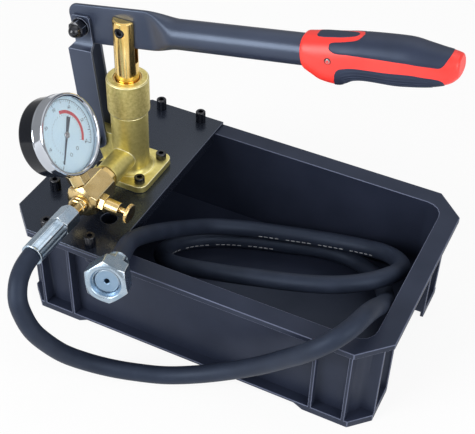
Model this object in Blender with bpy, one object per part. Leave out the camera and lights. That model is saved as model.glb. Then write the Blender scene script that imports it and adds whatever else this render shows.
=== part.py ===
"""Hydrostatic test pump: open tank, brass hand pump, lever, gauge and pressure hose.

Metres, +Z up. The origin is the centre of the tank's footprint, on the floor.
The pump stands at the -X end, the lever's grip points to +X, and the outlet,
the gauge and the hose are on the -Y side.
"""

import math

import bmesh
import bpy
from mathutils import Matrix, Vector

MM = 0.001
DEG = math.pi / 180
FULL_TURN = 2 * math.pi
QUARTER_TURN = math.pi / 2

# Clearances shared by all pieces
GAP = 0.3 * MM
OVERRUN = 2 * MM
WELD = 1 * MM

# Facets
ROUND_STEPS = 24
SMALL_STEPS = 12
BALL_STEPS = 8
LARGE_STEPS = 40
SMOOTH_ANGLE = 35 * DEG

# Tank
TANK_LENGTH = 340 * MM
TANK_WIDTH = 211 * MM
TANK_HEIGHT = 96 * MM
CORNER_CUT = 24 * MM
RIM_WIDTH = 17 * MM
RIM_THICKNESS = 2.8 * MM
RIM_LIP_DROP = 5.5 * MM
RIM_LIP_WALL = 2 * MM
OPENING_RADIUS = 17 * MM
WALL = 2.5 * MM
WALL_DRAFT = 2.5 * MM
FLOOR_TOP = 10 * MM
FLOOR_WALL = 4 * MM
FOOT_INSET = 7.5 * MM
FOOT_CUT = 16 * MM
FOOT_TOP = 7 * MM
FOOT_PLATE = 1.8 * MM
FOOT_WALL = 3 * MM
FOOT_LENGTH = 63 * MM
FOOT_SLOPE = 8 * MM
FOOT_NOTCH = 4.6 * MM
FIN_WALL = 3 * MM
FIN_FIRST = 28 * MM
FIN_PITCH = 29 * MM
BOSS_RADIUS = 5.5 * MM
BOSS_DROP = 10 * MM
END_BOSS_RADIUS = 7 * MM

# Top plate
PLATE_THICKNESS = 2.4 * MM
PLATE_LENGTH = 101 * MM
PLATE_LIP_DROP = 8 * MM
PLATE_LIP_INSET = 2.5 * MM
DRAIN_RADIUS = 7 * MM
DRAIN_AHEAD = 16.5 * MM
DRAIN_ASIDE = 61.7 * MM

# Plate screws
SCREW_RADIUS = 2.5 * MM
SCREW_HEAD_RADIUS = 4.6 * MM
SCREW_HEAD_HEIGHT = 10.4 * MM
SCREW_GRIP = 9 * MM
SOCKET_RADIUS = 2.5 * MM
SOCKET_DEPTH = 3.5 * MM
RIM_SCREW_EDGE = 8.5 * MM
RIM_SCREW_INSETS = (39 * MM, 81 * MM)
END_SCREW_ASIDE = 50 * MM
END_SCREW_INSET = 16.5 * MM

# Pump body
PUMP_INSET = 61 * MM
PUMP_ASIDE = 4 * MM
FLANGE_HALF = 27 * MM
FLANGE_RADIUS = 8 * MM
FLANGE_THICKNESS = 6.3 * MM
FLANGE_SCREW_OFFSET = 19 * MM
FLANGE_HEAD_HEIGHT = 5.5 * MM
FLANGE_SCREW_GRIP = 12 * MM
TUBE_RADIUS = 15.9 * MM
TUBE_HEIGHT = 64.4 * MM
TUBE_FILLET = 4 * MM
NECK_RADIUS = 13.4 * MM
NECK_HEIGHT = 22 * MM
SPIGOT_RADIUS = 12.7 * MM
SPIGOT_DROP = 20 * MM
BORE_RADIUS = 10.3 * MM
BORE_FLOOR = 2 * MM
SUCTION_RADIUS = 4 * MM
SUCTION_STEP = 4 * MM
CHAMBER_RADIUS = 6.5 * MM
OUTLET_RISE = 21.6 * MM
OUTLET_RADIUS = 10.75 * MM
OUTLET_REACH = 41 * MM
OUTLET_CHAMBER = 16 * MM
OUTLET_PASSAGE = 3 * MM
EAR_THICKNESS = 12 * MM
EAR_SHIFT = 4 * MM
EAR_RADIUS = 8 * MM
EAR_REACH = 27.8 * MM
EAR_RISE = 33.3 * MM
EAR_FOOT = 10 * MM

# Gland and its rings
GLAND_RADIUS = 18 * MM
GLAND_HEIGHT = 33.4 * MM
GLAND_CHAMFER = 2.5 * MM
GLAND_SEAT = 3.3 * MM
GLAND_LAND = 3.4 * MM
WIPER_RADIUS = 11.9 * MM
PACKING_HEIGHT = 4.4 * MM
WIPER_HEIGHT = 2.6 * MM

# Plunger
PLUNGER_RADIUS = 10 * MM
PLUNGER_CREST = 9.16 * MM
PLUNGER_BOTTOM = 20 * MM
PLUNGER_SLOT = 5 * MM
PLUNGER_SLOT_DEPTH = 39 * MM
PLUNGER_CHAMFER = 1 * MM
SEAL_HEIGHT = 3 * MM
SEAL_DEPTH = 1.6 * MM
SEAL_RISE = 6 * MM
PIN_RADIUS = 3 * MM
PIN_HEAD_RADIUS = 4.2 * MM
PIN_HEAD_DEPTH = 2.6 * MM

# Suction side under the plate
VALVE_SEAT_RADIUS = 6.2 * MM
VALVE_SEAT_HEIGHT = 7 * MM
VALVE_SEAT_HEX = 20 * MM
VALVE_SEAT_HEX_HEIGHT = 6 * MM
VALVE_BORE_RADIUS = 3 * MM
SUCTION_BALL_RADIUS = 4.6 * MM
STRAINER_RADIUS = 11 * MM
STRAINER_WALL = 2 * MM
STRAINER_LIFT = 4 * MM
STRAINER_SPIGOT = 6 * MM
STRAINER_HOLE_RADIUS = 3 * MM
DISCHARGE_BALL_RADIUS = 4.2 * MM

# Outlet nut, manifold and hose adapter
OUTLET_NUT_FLATS = 19 * MM
OUTLET_NUT_LENGTH = 7.4 * MM
MANIFOLD_FLATS = 27 * MM
MANIFOLD_LENGTH = 33 * MM
MANIFOLD_CHAMFER = 1 * MM
MANIFOLD_SPIGOT = 6.4 * MM
MANIFOLD_SPIGOT_LENGTH = 12.5 * MM
MANIFOLD_BORE = 2.5 * MM
PORT_FROM_FRONT = 11 * MM
PORT_DEPTH = 7 * MM
PORT_RADIUS = 6.4 * MM
VALVE_LEAN = -4.5 * DEG
ADAPTER_RADIUS = 7.8 * MM
ADAPTER_STEP_RADIUS = 6.8 * MM
ADAPTER_STEP = 6 * MM
ADAPTER_LENGTH = 13 * MM
ADAPTER_NOSE_RADIUS = 5 * MM
ADAPTER_NOSE = 8 * MM

# Release valve
BONNET_FLATS = 14 * MM
BONNET_HEX_LENGTH = 5.2 * MM
BONNET_RADIUS = 5.9 * MM
BONNET_LENGTH = 12.3 * MM
BONNET_SPIGOT_RADIUS = 5.6 * MM
BONNET_SPIGOT = 5 * MM
SPINDLE_RADIUS = 2.9 * MM
SPINDLE_TAIL = 12 * MM
SPINDLE_REACH = 6.2 * MM
KNOB_RADIUS = 8.5 * MM
KNOB_THICKNESS = 3.8 * MM
KNOB_EDGE = 0.8 * MM

# Gauge
GAUGE_REACH = 58.6 * MM
STEM_FLATS = 16 * MM
STEM_HEX_LENGTH = 10 * MM
STEM_RADIUS = 5.5 * MM
STEM_SPIGOT = 6 * MM
CASE_RADIUS = 32.5 * MM
CASE_WALL = 1.4 * MM
CASE_DEPTH = 28.5 * MM
BEZEL_FRONT = 17.6 * MM
BEZEL_RADIUS = 33.5 * MM
BEZEL_DEPTH = 11.8 * MM
BEZEL_LIP = 3.2 * MM
BEZEL_LIP_DEPTH = 1.6 * MM
GLASS_THICKNESS = 2 * MM
DIAL_DEPTH = 6.2 * MM
DIAL_THICKNESS = 0.8 * MM
NEEDLE_THICKNESS = 0.6 * MM
NEEDLE_LENGTH = 24.3 * MM
NEEDLE_TAIL = 15 * MM
NEEDLE_WIDTH = 3.6 * MM
NEEDLE_POINT = 0.8 * MM
NEEDLE_HUB_RADIUS = 2.6 * MM
ARBOR_RADIUS = 1.2 * MM
ARBOR_LENGTH = 7 * MM
NEEDLE_REST = 225 * DEG
TUBE_RING_RADIUS = 21 * MM
TUBE_RING_HALF_WIDTH = 3 * MM
TUBE_RING_HALF_WALL = 1.1 * MM
TUBE_RING_SWEEP = 250 * DEG
SOCKET_BLOCK = 12 * MM
MOVEMENT_SIZE = 15 * MM
MOVEMENT_DEPTH = 5 * MM

# Lever linkage: the ear pin and the fulcrum set the lever's place
LINK_LENGTH = 104.6 * MM
LINK_LEAN = 5.9 * DEG
STRAP_WIDTH = 22 * MM
STRAP_THICKNESS = 2.5 * MM
STRAP_TOP = 9.2 * MM
STRAP_NECK_WIDTH = 17 * MM
STRAP_TOP_WIDTH = 13.6 * MM
STRAP_BEVEL = 2 * MM
STRAP_JOGGLE = 8 * MM
JOGGLE_RUN = 2.6 * MM
JOGGLE_DROP = 16.2 * MM
EAR_PIN_RADIUS = 4 * MM
EAR_HEAD_FLATS = 13 * MM
EAR_HEAD_HEIGHT = 5 * MM
FULCRUM_RADIUS = 4 * MM
FULCRUM_FLATS = 13 * MM
FULCRUM_HEAD = 5.3 * MM
WASHER_RADIUS = 8.2 * MM
WASHER_THICKNESS = 1.5 * MM
CAP_NUT_HEIGHT = 6.5 * MM
CAP_NUT_DOME = 6.5 * MM
CAP_NUT_BORE = 9 * MM
PIN_HOLE_CLEARANCE = 0.25 * MM

# Lever
LEVER_PITCH = 10 * DEG
LEVER_PIN_REACH = 39.09 * MM
LEVER_FLAT_HEIGHT = 34.5 * MM
LEVER_FLAT_THICKNESS = 4 * MM
LEVER_END = 11.2 * MM
LEVER_FLAT_LENGTH = 66 * MM
LEVER_ROUND_FROM = 84 * MM
LEVER_TUBE_RADIUS = 12 * MM
LEVER_TUBE_WALL = 1.8 * MM
LEVER_LENGTH = 258 * MM
# The lever's pin hole is open by what the straight-line couplings leave over.
OPEN_PIVOT_CLEARANCE = 4.5 * MM

# Grip
GRIP_FROM = 197 * MM
GRIP_LENGTH = 117 * MM
GRIP_TALLEST = 19.2 * MM
GRIP_HALF_WIDTH = 15.2 * MM
GRIP_BORE_LENGTH = 63 * MM
GRIP_SQUARENESS = 0.85
PAD_DEPTH = 1.4 * MM
PAD_PROUD = 0.4 * MM
PAD_FACET = 8 * DEG
# Each station: share of the length, lower and upper edge as shares of the tallest half height,
# and the half width as a share of the widest.
GRIP_SHARES = (
    (0.000, -0.67, 0.73, 0.88),
    (0.051, -0.86, 0.75, 0.94),
    (0.111, -1.09, 0.80, 0.99),
    (0.205, -1.21, 0.84, 1.00),
    (0.250, -1.19, 0.85, 1.00),
    (0.282, -1.07, 0.86, 1.00),
    (0.330, -0.93, 0.88, 1.00),
    (0.410, -0.87, 0.90, 1.00),
    (0.598, -0.92, 0.92, 1.00),
    (0.700, -0.88, 0.89, 0.99),
    (0.795, -0.82, 0.76, 0.93),
    (0.880, -0.73, 0.65, 0.83),
    (0.945, -0.58, 0.58, 0.74),
    (0.980, -0.40, 0.52, 0.68),
    (1.000, -0.27, 0.49, 0.61),
)
# Each pad: start and end as shares of the grip's length, and its two edges round it.
TOP_PAD_SHARES = (0.40, 0.94)
TOP_PAD_EDGES = (16 * DEG, 164 * DEG)
THUMB_PAD_SHARES = (0.10, 0.365)
THUMB_PAD_EDGES = (72 * DEG, 108 * DEG)
FINGER_PAD_SHARES = (0.235, 0.90)
FINGER_PAD_EDGES = (184 * DEG, 256 * DEG)
GRIP_SCREW_SHARE = 0.195
GRIP_SCREW_RADIUS = 2.6 * MM

# Hose and its fittings
HOSE_RADIUS = 7.5 * MM
HOSE_SPACING = 30 * MM
FERRULE_RADIUS = 9.25 * MM
FERRULE_FLUTE = 0.5 * MM
FERRULE_FLUTES = 8
FERRULE_BORE = 3 * MM
INLET_NUT_FLATS = 16.5 * MM
INLET_NUT_LENGTH = 19 * MM
INLET_FERRULE_LENGTH = 37 * MM
END_FERRULE_LENGTH = 18 * MM
NIPPLE_NECK_RADIUS = 6.3 * MM
NIPPLE_NECK = 4 * MM
NIPPLE_HEAD_RADIUS = 10.3 * MM
NIPPLE_HEAD = 9 * MM
NIPPLE_BORE = 1.9 * MM
SWIVEL_FLATS = 32 * MM
SWIVEL_LENGTH = 16.5 * MM
SWIVEL_BACK = 2.8 * MM
SWIVEL_CHAMFER = 2.2 * MM
SWIVEL_TURN = 9.4 * DEG
END_FITTING_AXIS = Vector((0.259, -0.935, 0.242))
# The hose's route from the pump end to the far fitting, chosen by hand.
HOSE_ROUTE = (
    (-109, -147.3, 120.3), (-107.6, -161, 119.3), (-104.4, -173, 115), (-100, -181.5, 105.5),
    (-95.5, -184.5, 92), (-90, -181.5, 76.5), (-84, -174.5, 59), (-76, -165, 41),
    (-65, -153, 25), (-49, -141.5, 13.5), (-30, -132.5, 8.8), (-6, -124, 9),
    (20, -117, 17), (47, -113, 32), (74, -112.5, 53), (96, -115, 75.5),
    (110.5, -117.5, 91.5), (122.5, -117, 105), (133, -110.5, 114), (140, -98.5, 118),
    (143.5, -82, 116), (144.7, -63, 106), (144.5, -40, 88.5), (140.5, -11, 65),
    (130, 19, 45), (112, 50, 28), (84, 68, 19.5), (53, 67.5, 18.3),
    (21, 58, 18.3), (-11, 48, 18.3), (-37, 36.5, 18.5), (-56, 21, 21),
    (-66.5, 2.5, 26), (-67.5, -15, 33), (-58.5, -31.5, 42), (-36, -42, 52),
    (3, -44, 63), (40, -43.5, 73), (75, -40, 80.5), (104, -32.5, 85.5),
    (125.5, -18, 86.5), (138, 2, 82), (140.5, 24, 71.5), (132.5, 44, 60),
    (115.5, 57.5, 51), (89, 64, 42), (54, 62.5, 36.3), (21, 55, 35),
    (-12, 44, 36), (-39.5, 24.5, 43), (-53, -3, 57), (-58.5, -34, 76),
    (-60, -60, 92), (-59.8, -78, 101.7), (-57.6, -91.3, 106.9), (-54.4, -102.5, 109.8),
    (-50.8, -115.6, 113.2),
)

# Heights and places that follow from the sizes above
HALF_LENGTH = TANK_LENGTH / 2
HALF_WIDTH = TANK_WIDTH / 2
PLATE_LOW = TANK_HEIGHT + GAP
PLATE_HIGH = PLATE_LOW + PLATE_THICKNESS
FLANGE_LOW = PLATE_HIGH + GAP
FLANGE_HIGH = FLANGE_LOW + FLANGE_THICKNESS
TUBE_HIGH = FLANGE_LOW + TUBE_HEIGHT
NECK_HIGH = TUBE_HIGH + NECK_HEIGHT
PUMP_X = PUMP_INSET - HALF_LENGTH
PUMP_Y = PUMP_ASIDE
OUTLET_Z = FLANGE_LOW + OUTLET_RISE
OUTLET_FACE = PUMP_Y - OUTLET_REACH
MANIFOLD_BACK = OUTLET_FACE - OUTLET_NUT_LENGTH - 2 * GAP
MANIFOLD_FRONT = MANIFOLD_BACK - MANIFOLD_LENGTH
PORT_Y = MANIFOLD_FRONT + PORT_FROM_FRONT
GAUGE_LEAN = VALVE_LEAN + QUARTER_TURN / 3
EAR_Y = PUMP_Y - EAR_SHIFT
EAR_PIN = Vector((PUMP_X - EAR_REACH, PUMP_Y, FLANGE_LOW + EAR_RISE))
FULCRUM = EAR_PIN + LINK_LENGTH * Vector((-math.sin(LINK_LEAN), 0, math.cos(LINK_LEAN)))
PIN_HEIGHT = FULCRUM.z + LEVER_PIN_REACH * math.sin(LEVER_PITCH)
PLUNGER_TOP = PIN_HEIGHT + PLUNGER_CREST - FLANGE_HIGH
JOGGLE_HIGH = LINK_LENGTH - JOGGLE_DROP
JOGGLE_LOW = JOGGLE_HIGH - JOGGLE_RUN
RIM_SCREW_ASIDE = HALF_WIDTH - RIM_SCREW_EDGE
REAR_STRAP_Y = LEVER_FLAT_THICKNESS / 2 + GAP
FRONT_STRAP_Y = -LEVER_FLAT_THICKNESS / 2 - GAP - STRAP_THICKNESS


def clear_scene():
    """Empty the scene of whatever it starts with."""
    for item in list(bpy.data.objects):
        bpy.data.objects.remove(item, do_unlink=True)


def finish(name, colour, roughness, metallic=0.0):
    """A Principled material."""
    made = bpy.data.materials.new(name)
    made.use_nodes = True
    shader = made.node_tree.nodes["Principled BSDF"]
    shader.inputs["Base Color"].default_value = (*colour, 1.0)
    shader.inputs["Roughness"].default_value = roughness
    shader.inputs["Metallic"].default_value = metallic
    made.diffuse_color = (*colour, 1.0)
    return made


def empty(name, place, turn=(0, 0, 0), parent=None):
    """An empty that carries pieces, such as a joint's axis or a slanted port."""
    made = bpy.data.objects.new(name, None)
    made.location = place
    made.rotation_euler = turn
    made.parent = parent
    bpy.context.scene.collection.objects.link(made)
    return made


def piece(name, shape, material, place=(0, 0, 0), turn=(0, 0, 0), parent=None):
    """An object from a bmesh, whose faces are turned outwards first."""
    bmesh.ops.recalc_face_normals(shape, faces=shape.faces)
    mesh = bpy.data.meshes.new(name)
    shape.to_mesh(mesh)
    shape.free()
    mesh.materials.append(material)
    mesh.shade_smooth()
    mesh.set_sharp_from_angle(angle=SMOOTH_ANGLE)
    made = bpy.data.objects.new(name, mesh)
    made.location = place
    made.rotation_euler = turn
    made.parent = parent
    bpy.context.scene.collection.objects.link(made)
    return made


def combine(target, label, shape, operation, place=(0, 0, 0), turn=(0, 0, 0)):
    """Join a shape to an object, or cut it out, in the object's own space."""
    helper = piece(f"{target.name}_{label}", shape, target.data.materials[0], place, turn, target)
    helper.hide_render = True
    helper.display_type = "WIRE"
    modifier = target.modifiers.new(label, "BOOLEAN")
    modifier.operation = operation
    modifier.solver = "EXACT"
    modifier.object = helper


def join(target, label, shape, place=(0, 0, 0), turn=(0, 0, 0)):
    combine(target, label, shape, "UNION", place, turn)


def cut(target, label, shape, place=(0, 0, 0), turn=(0, 0, 0)):
    combine(target, label, shape, "DIFFERENCE", place, turn)


def skinned(rings, closed=False):
    """Skin a row of point rings, of which an end may be one point on the axis.

    The ends are capped, or joined to each other when closed.
    """
    shape = bmesh.new()
    count = max(len(ring) for ring in rings)
    made = []
    for ring in rings:
        points = [shape.verts.new(point) for point in ring]
        made.append(points * count if len(points) == 1 else points)
    pairs = list(zip(made, made[1:]))
    if closed:
        pairs.append((made[-1], made[0]))
    for low, high in pairs:
        for index in range(count):
            after = (index + 1) % count
            corners = dict.fromkeys([low[index], low[after], high[after], high[index]])
            if len(corners) > 2:
                shape.faces.new(list(corners))
    if not closed:
        for end in (made[0], made[-1]):
            if len(set(end)) > 2:
                shape.faces.new(end)
    return shape


def turned(profile, steps=ROUND_STEPS, closed=False):
    """Turn a profile of (radius, height) points round Z."""
    angles = [FULL_TURN * step / steps for step in range(steps)]
    rings = []
    for radius, height in profile:
        if radius == 0:
            rings.append([(0, 0, height)])
        else:
            rings.append([(radius * math.cos(a), radius * math.sin(a), height) for a in angles])
    return skinned(rings, closed)


def rod(radius, low, high, steps=ROUND_STEPS):
    """A round bar along Z."""
    return turned([(radius, low), (radius, high)], steps)


def tube(outer, inner, low, high, steps=ROUND_STEPS):
    """A plain ring along Z."""
    return turned([(outer, low), (outer, high), (inner, high), (inner, low)], steps, closed=True)


def prism(outline, low, high):
    """An outline of (x, y) points raised along Z."""
    return skinned([[(x, y, z) for x, y in outline] for z in (low, high)])


def frustum(low_outline, high_outline, low, high):
    """A prism whose outline changes from the bottom to the top."""
    return skinned(
        [[(x, y, low) for x, y in low_outline], [(x, y, high) for x, y in high_outline]]
    )


def frame_ring(outer, inner, low, high):
    """The band between two outlines that have as many points."""
    levels = [(outer, low), (outer, high), (inner, high), (inner, low)]
    return skinned([[(x, y, z) for x, y in line] for line, z in levels], closed=True)


def box(low, high):
    """A block between two corners."""
    outline = [(low[0], low[1]), (high[0], low[1]), (high[0], high[1]), (low[0], high[1])]
    return prism(outline, low[2], high[2])


def chamfered(half_x, half_y, corner):
    """A rectangle with its corners cut at 45 degrees."""
    short_x = half_x - corner
    short_y = half_y - corner
    return [
        (half_x, -short_y), (half_x, short_y), (short_x, half_y), (-short_x, half_y),
        (-half_x, short_y), (-half_x, -short_y), (-short_x, -half_y), (short_x, -half_y),
    ]


def rounded(half_x, half_y, radius, steps=4):
    """A rectangle with round corners."""
    points = []
    for corner, (side_x, side_y) in enumerate(((1, 1), (-1, 1), (-1, -1), (1, -1))):
        for step in range(steps + 1):
            angle = QUARTER_TURN * (corner + step / steps)
            x = side_x * (half_x - radius) + radius * math.cos(angle)
            y = side_y * (half_y - radius) + radius * math.sin(angle)
            points.append((x, y))
    return points


def hexagon(flats, start=0.0):
    """A regular hexagon, whose first flat faces the start angle."""
    radius = flats / math.sqrt(3)
    angles = [start + FULL_TURN * (index + 1 / 2) / 6 for index in range(6)]
    return [(radius * math.cos(a), radius * math.sin(a)) for a in angles]


def nut(flats, low, high, bore, chamfer=0.0, start=0.0):
    """A hexagon bar with a bore, as one closed loop of rings, with cut corners at the top."""
    steps = ROUND_STEPS
    outline = []
    inside = []
    shrunk = []
    for step in range(steps):
        angle = start + FULL_TURN * step / steps
        sector = (angle - start) % (FULL_TURN / 6)
        bend = math.cos(sector - FULL_TURN / 12)
        radius = flats / 2 / bend
        turned_angle = angle + FULL_TURN / 12
        outline.append((radius * math.cos(turned_angle), radius * math.sin(turned_angle)))
        inside.append((bore * math.cos(turned_angle), bore * math.sin(turned_angle)))
        small = flats / 2 - chamfer / 4
        shrunk.append((small * math.cos(turned_angle), small * math.sin(turned_angle)))
    levels = [(outline, low), (outline, high - chamfer / 2), (shrunk, high), (inside, high)]
    if chamfer == 0:
        levels = [(outline, low), (outline, high), (inside, high)]
    levels.append((inside, low))
    return skinned([[(x, y, z) for x, y in line] for line, z in levels], closed=True)


def along(shape, axis, place=(0, 0, 0)):
    """Turn a shape that was made along Z, so that it runs along another axis from a place."""
    turn = Vector((0, 0, 1)).rotation_difference(Vector(axis).normalized()).to_matrix().to_4x4()
    bmesh.ops.transform(shape, matrix=Matrix.Translation(place) @ turn, verts=shape.verts)
    return shape


# Finishes
def make_finishes():
    """Every material by name."""
    return {
        "black_plastic": finish("black_plastic", (0.030, 0.031, 0.040), 0.45),
        "black_steel": finish("black_steel", (0.020, 0.021, 0.025), 0.35),
        "screw_black": finish("screw_black", (0.012, 0.012, 0.014), 0.30),
        "cast_brass": finish("cast_brass", (0.60, 0.47, 0.16), 0.38, 1.0),
        "bright_brass": finish("bright_brass", (0.80, 0.58, 0.20), 0.18, 1.0),
        "zinc": finish("zinc", (0.72, 0.76, 0.80), 0.28, 1.0),
        "chrome": finish("chrome", (0.80, 0.82, 0.85), 0.08, 1.0),
        "steel": finish("steel", (0.62, 0.62, 0.62), 0.30, 1.0),
        "glass": finish("glass", (0.90, 0.95, 1.00), 0.03),
        "dial_white": finish("dial_white", (0.86, 0.90, 0.96), 0.50),
        "needle_black": finish("needle_black", (0.02, 0.02, 0.02), 0.40),
        "rubber_black": finish("rubber_black", (0.020, 0.020, 0.022), 0.65),
        "hose_rubber": finish("hose_rubber", (0.030, 0.032, 0.040), 0.60),
        "grip_red": finish("grip_red", (0.75, 0.03, 0.03), 0.40),
        "seal_white": finish("seal_white", (0.80, 0.80, 0.76), 0.50),
    }


# Tank
def make_tank(finishes):
    """The moulded tank: bucket, rim with its lip, feet, fins and screw bosses."""
    wall_top_x = HALF_LENGTH - RIM_WIDTH
    wall_top_y = HALF_WIDTH - RIM_WIDTH
    outline_top = rounded(wall_top_x + WALL, wall_top_y + WALL, OPENING_RADIUS)
    outline_low = rounded(
        wall_top_x + WALL - WALL_DRAFT, wall_top_y + WALL - WALL_DRAFT, OPENING_RADIUS
    )
    bottom = FLOOR_TOP - FLOOR_WALL
    shape = frustum(outline_low, outline_top, bottom, TANK_HEIGHT - WELD)
    tank = piece("tank", shape, finishes["black_plastic"])
    outer = chamfered(HALF_LENGTH, HALF_WIDTH, CORNER_CUT)
    join(tank, "rim", prism(outer, TANK_HEIGHT - RIM_THICKNESS, TANK_HEIGHT))
    add_rim_lip(tank, outer)
    add_feet(tank)
    add_fins(tank)
    add_bosses(tank)
    cut_cavity(tank, wall_top_x, wall_top_y)
    cut_screw_holes(tank)
    return tank


def add_rim_lip(tank, outer):
    inner = chamfered(HALF_LENGTH - RIM_LIP_WALL, HALF_WIDTH - RIM_LIP_WALL, CORNER_CUT)
    low = TANK_HEIGHT - RIM_LIP_DROP
    high = TANK_HEIGHT - RIM_THICKNESS / 2
    join(tank, "rim_lip", frame_ring(outer, inner, low, high))


def add_feet(tank):
    half_x = HALF_LENGTH - FOOT_INSET
    half_y = HALF_WIDTH - FOOT_INSET
    foot = chamfered(half_x, half_y, FOOT_CUT)
    join(tank, "foot_plate", prism(foot, FOOT_TOP - FOOT_PLATE, FOOT_TOP))
    inner = chamfered(half_x - FOOT_WALL, half_y - FOOT_WALL, FOOT_CUT)
    join(tank, "foot_wall", frame_ring(foot, inner, 0, FOOT_TOP - FOOT_PLATE / 2))
    reach = HALF_LENGTH - FOOT_LENGTH
    notch = [
        (-reach - FOOT_SLOPE / 2, -OVERRUN), (reach + FOOT_SLOPE / 2, -OVERRUN),
        (reach, 0), (reach - FOOT_SLOPE, FOOT_NOTCH),
        (FOOT_SLOPE - reach, FOOT_NOTCH), (-reach, 0),
    ]
    depth = half_y + OVERRUN
    shape = along(prism(notch, -depth, depth), (0, -1, 0))
    cut(tank, "foot_notch", shape)
    bay = HALF_WIDTH - FIN_FIRST - FIN_PITCH - FIN_WALL / 2 + GAP
    wall = HALF_LENGTH - RIM_WIDTH + GAP
    for sign in (-1, 1):
        spans = sorted((sign * wall, sign * HALF_LENGTH))
        shape = box((spans[0], -bay, -OVERRUN), (spans[1], bay, FOOT_TOP + OVERRUN))
        cut(tank, f"end_bay_{sign}", shape)


def add_fins(tank):
    """Upright fins from the foot to the rim, two by each corner on every side."""
    low = FOOT_TOP - WELD
    high = TANK_HEIGHT - RIM_THICKNESS + WELD
    base_x = HALF_LENGTH - RIM_WIDTH - WALL_DRAFT
    base_y = HALF_WIDTH - RIM_WIDTH - WALL_DRAFT
    foot_x = HALF_LENGTH - FOOT_INSET
    foot_y = HALF_WIDTH - FOOT_INSET
    for index, inset in enumerate((FIN_FIRST, FIN_FIRST + FIN_PITCH)):
        side_x = HALF_LENGTH - inset
        side_y = HALF_WIDTH - inset
        for sign_x in (-1, 1):
            middle = sign_x * side_x
            for sign_y in (-1, 1):
                spans = sorted((sign_y * base_y, sign_y * foot_y))
                corner = (middle - FIN_WALL / 2, spans[0], low)
                opposite = (middle + FIN_WALL / 2, spans[1], high)
                join(tank, f"side_fin_{index}_{sign_x}_{sign_y}", box(corner, opposite))
                spans = sorted((sign_x * base_x, sign_x * foot_x))
                across = sign_y * side_y
                corner = (spans[0], across - FIN_WALL / 2, low)
                opposite = (spans[1], across + FIN_WALL / 2, high)
                join(tank, f"end_fin_{index}_{sign_x}_{sign_y}", box(corner, opposite))


def plate_screw_places():
    """(x, y) of the plate's screws: four on the long rims, two at the end."""
    places = []
    for inset in RIM_SCREW_INSETS:
        for sign in (-1, 1):
            places.append((inset - HALF_LENGTH, sign * RIM_SCREW_ASIDE))
    for sign in (-1, 1):
        places.append((END_SCREW_INSET - HALF_LENGTH, sign * END_SCREW_ASIDE))
    return places


def add_bosses(tank):
    high = TANK_HEIGHT - RIM_THICKNESS / 2
    low = TANK_HEIGHT - RIM_THICKNESS - BOSS_DROP
    for index, (x, y) in enumerate(plate_screw_places()):
        if abs(y) == RIM_SCREW_ASIDE:
            join(tank, f"boss_{index}", rod(BOSS_RADIUS, low, high, SMALL_STEPS), (x, y, 0))


def cut_cavity(tank, half_x, half_y):
    """The inside, which widens upwards like the wall."""
    rise = TANK_HEIGHT - FLOOR_TOP
    slope = WALL_DRAFT / rise
    grown = slope * OVERRUN
    low = rounded(half_x - WALL_DRAFT, half_y - WALL_DRAFT, OPENING_RADIUS - WALL)
    high = rounded(half_x + grown, half_y + grown, OPENING_RADIUS - WALL)
    cut(tank, "cavity", frustum(low, high, FLOOR_TOP, TANK_HEIGHT + OVERRUN))
    join_end_bosses(tank)


def join_end_bosses(tank):
    """The end screws stand over the opening's edge, so their bosses join the wall inside."""
    high = TANK_HEIGHT
    low = TANK_HEIGHT - RIM_THICKNESS - BOSS_DROP
    for index, (x, y) in enumerate(plate_screw_places()):
        if abs(y) == END_SCREW_ASIDE:
            boss = rod(END_BOSS_RADIUS, low, high - GAP, SMALL_STEPS)
            join(tank, f"end_boss_{index}", boss, (x, y, 0))


def cut_screw_holes(tank):
    radius = SCREW_RADIUS + GAP
    low = TANK_HEIGHT - RIM_THICKNESS - BOSS_DROP + OVERRUN
    for index, (x, y) in enumerate(plate_screw_places()):
        cut(tank, f"hole_{index}", rod(radius, low, TANK_HEIGHT + OVERRUN, SMALL_STEPS), (x, y, 0))


# Top plate
def flange_screw_places():
    return [
        (PUMP_X + sign_x * FLANGE_SCREW_OFFSET, PUMP_Y + sign_y * FLANGE_SCREW_OFFSET)
        for sign_x in (-1, 1)
        for sign_y in (-1, 1)
    ]


def make_plate(finishes):
    """The sheet that closes the pump end, with a lip bent down into the opening."""
    front = PLATE_LENGTH - HALF_LENGTH
    outline = [
        (front, -HALF_WIDTH), (front, HALF_WIDTH), (CORNER_CUT - HALF_LENGTH, HALF_WIDTH),
        (-HALF_LENGTH, HALF_WIDTH - CORNER_CUT), (-HALF_LENGTH, CORNER_CUT - HALF_WIDTH),
        (CORNER_CUT - HALF_LENGTH, -HALF_WIDTH),
    ]
    plate = piece("top_plate", prism(outline, PLATE_LOW, PLATE_HIGH), finishes["black_steel"])
    lip_half = HALF_WIDTH - RIM_WIDTH - PLATE_LIP_INSET
    low = (front - PLATE_THICKNESS, -lip_half, PLATE_LOW - PLATE_LIP_DROP)
    high = (front - GAP, lip_half, PLATE_HIGH - PLATE_THICKNESS / 2)
    join(plate, "lip", box(low, high))
    deep = PLATE_LOW - OVERRUN
    tall = PLATE_HIGH + OVERRUN
    cut(plate, "pump_hole", rod(SPIGOT_RADIUS + GAP, deep, tall), (PUMP_X, PUMP_Y, 0))
    drain = (PUMP_X + DRAIN_AHEAD, -DRAIN_ASIDE, 0)
    cut(plate, "drain_hole", rod(DRAIN_RADIUS, deep, tall), drain)
    for index, (x, y) in enumerate(plate_screw_places() + flange_screw_places()):
        cut(plate, f"screw_hole_{index}", rod(SCREW_RADIUS + GAP, deep, tall, SMALL_STEPS), (x, y, 0))
    return plate


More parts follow.
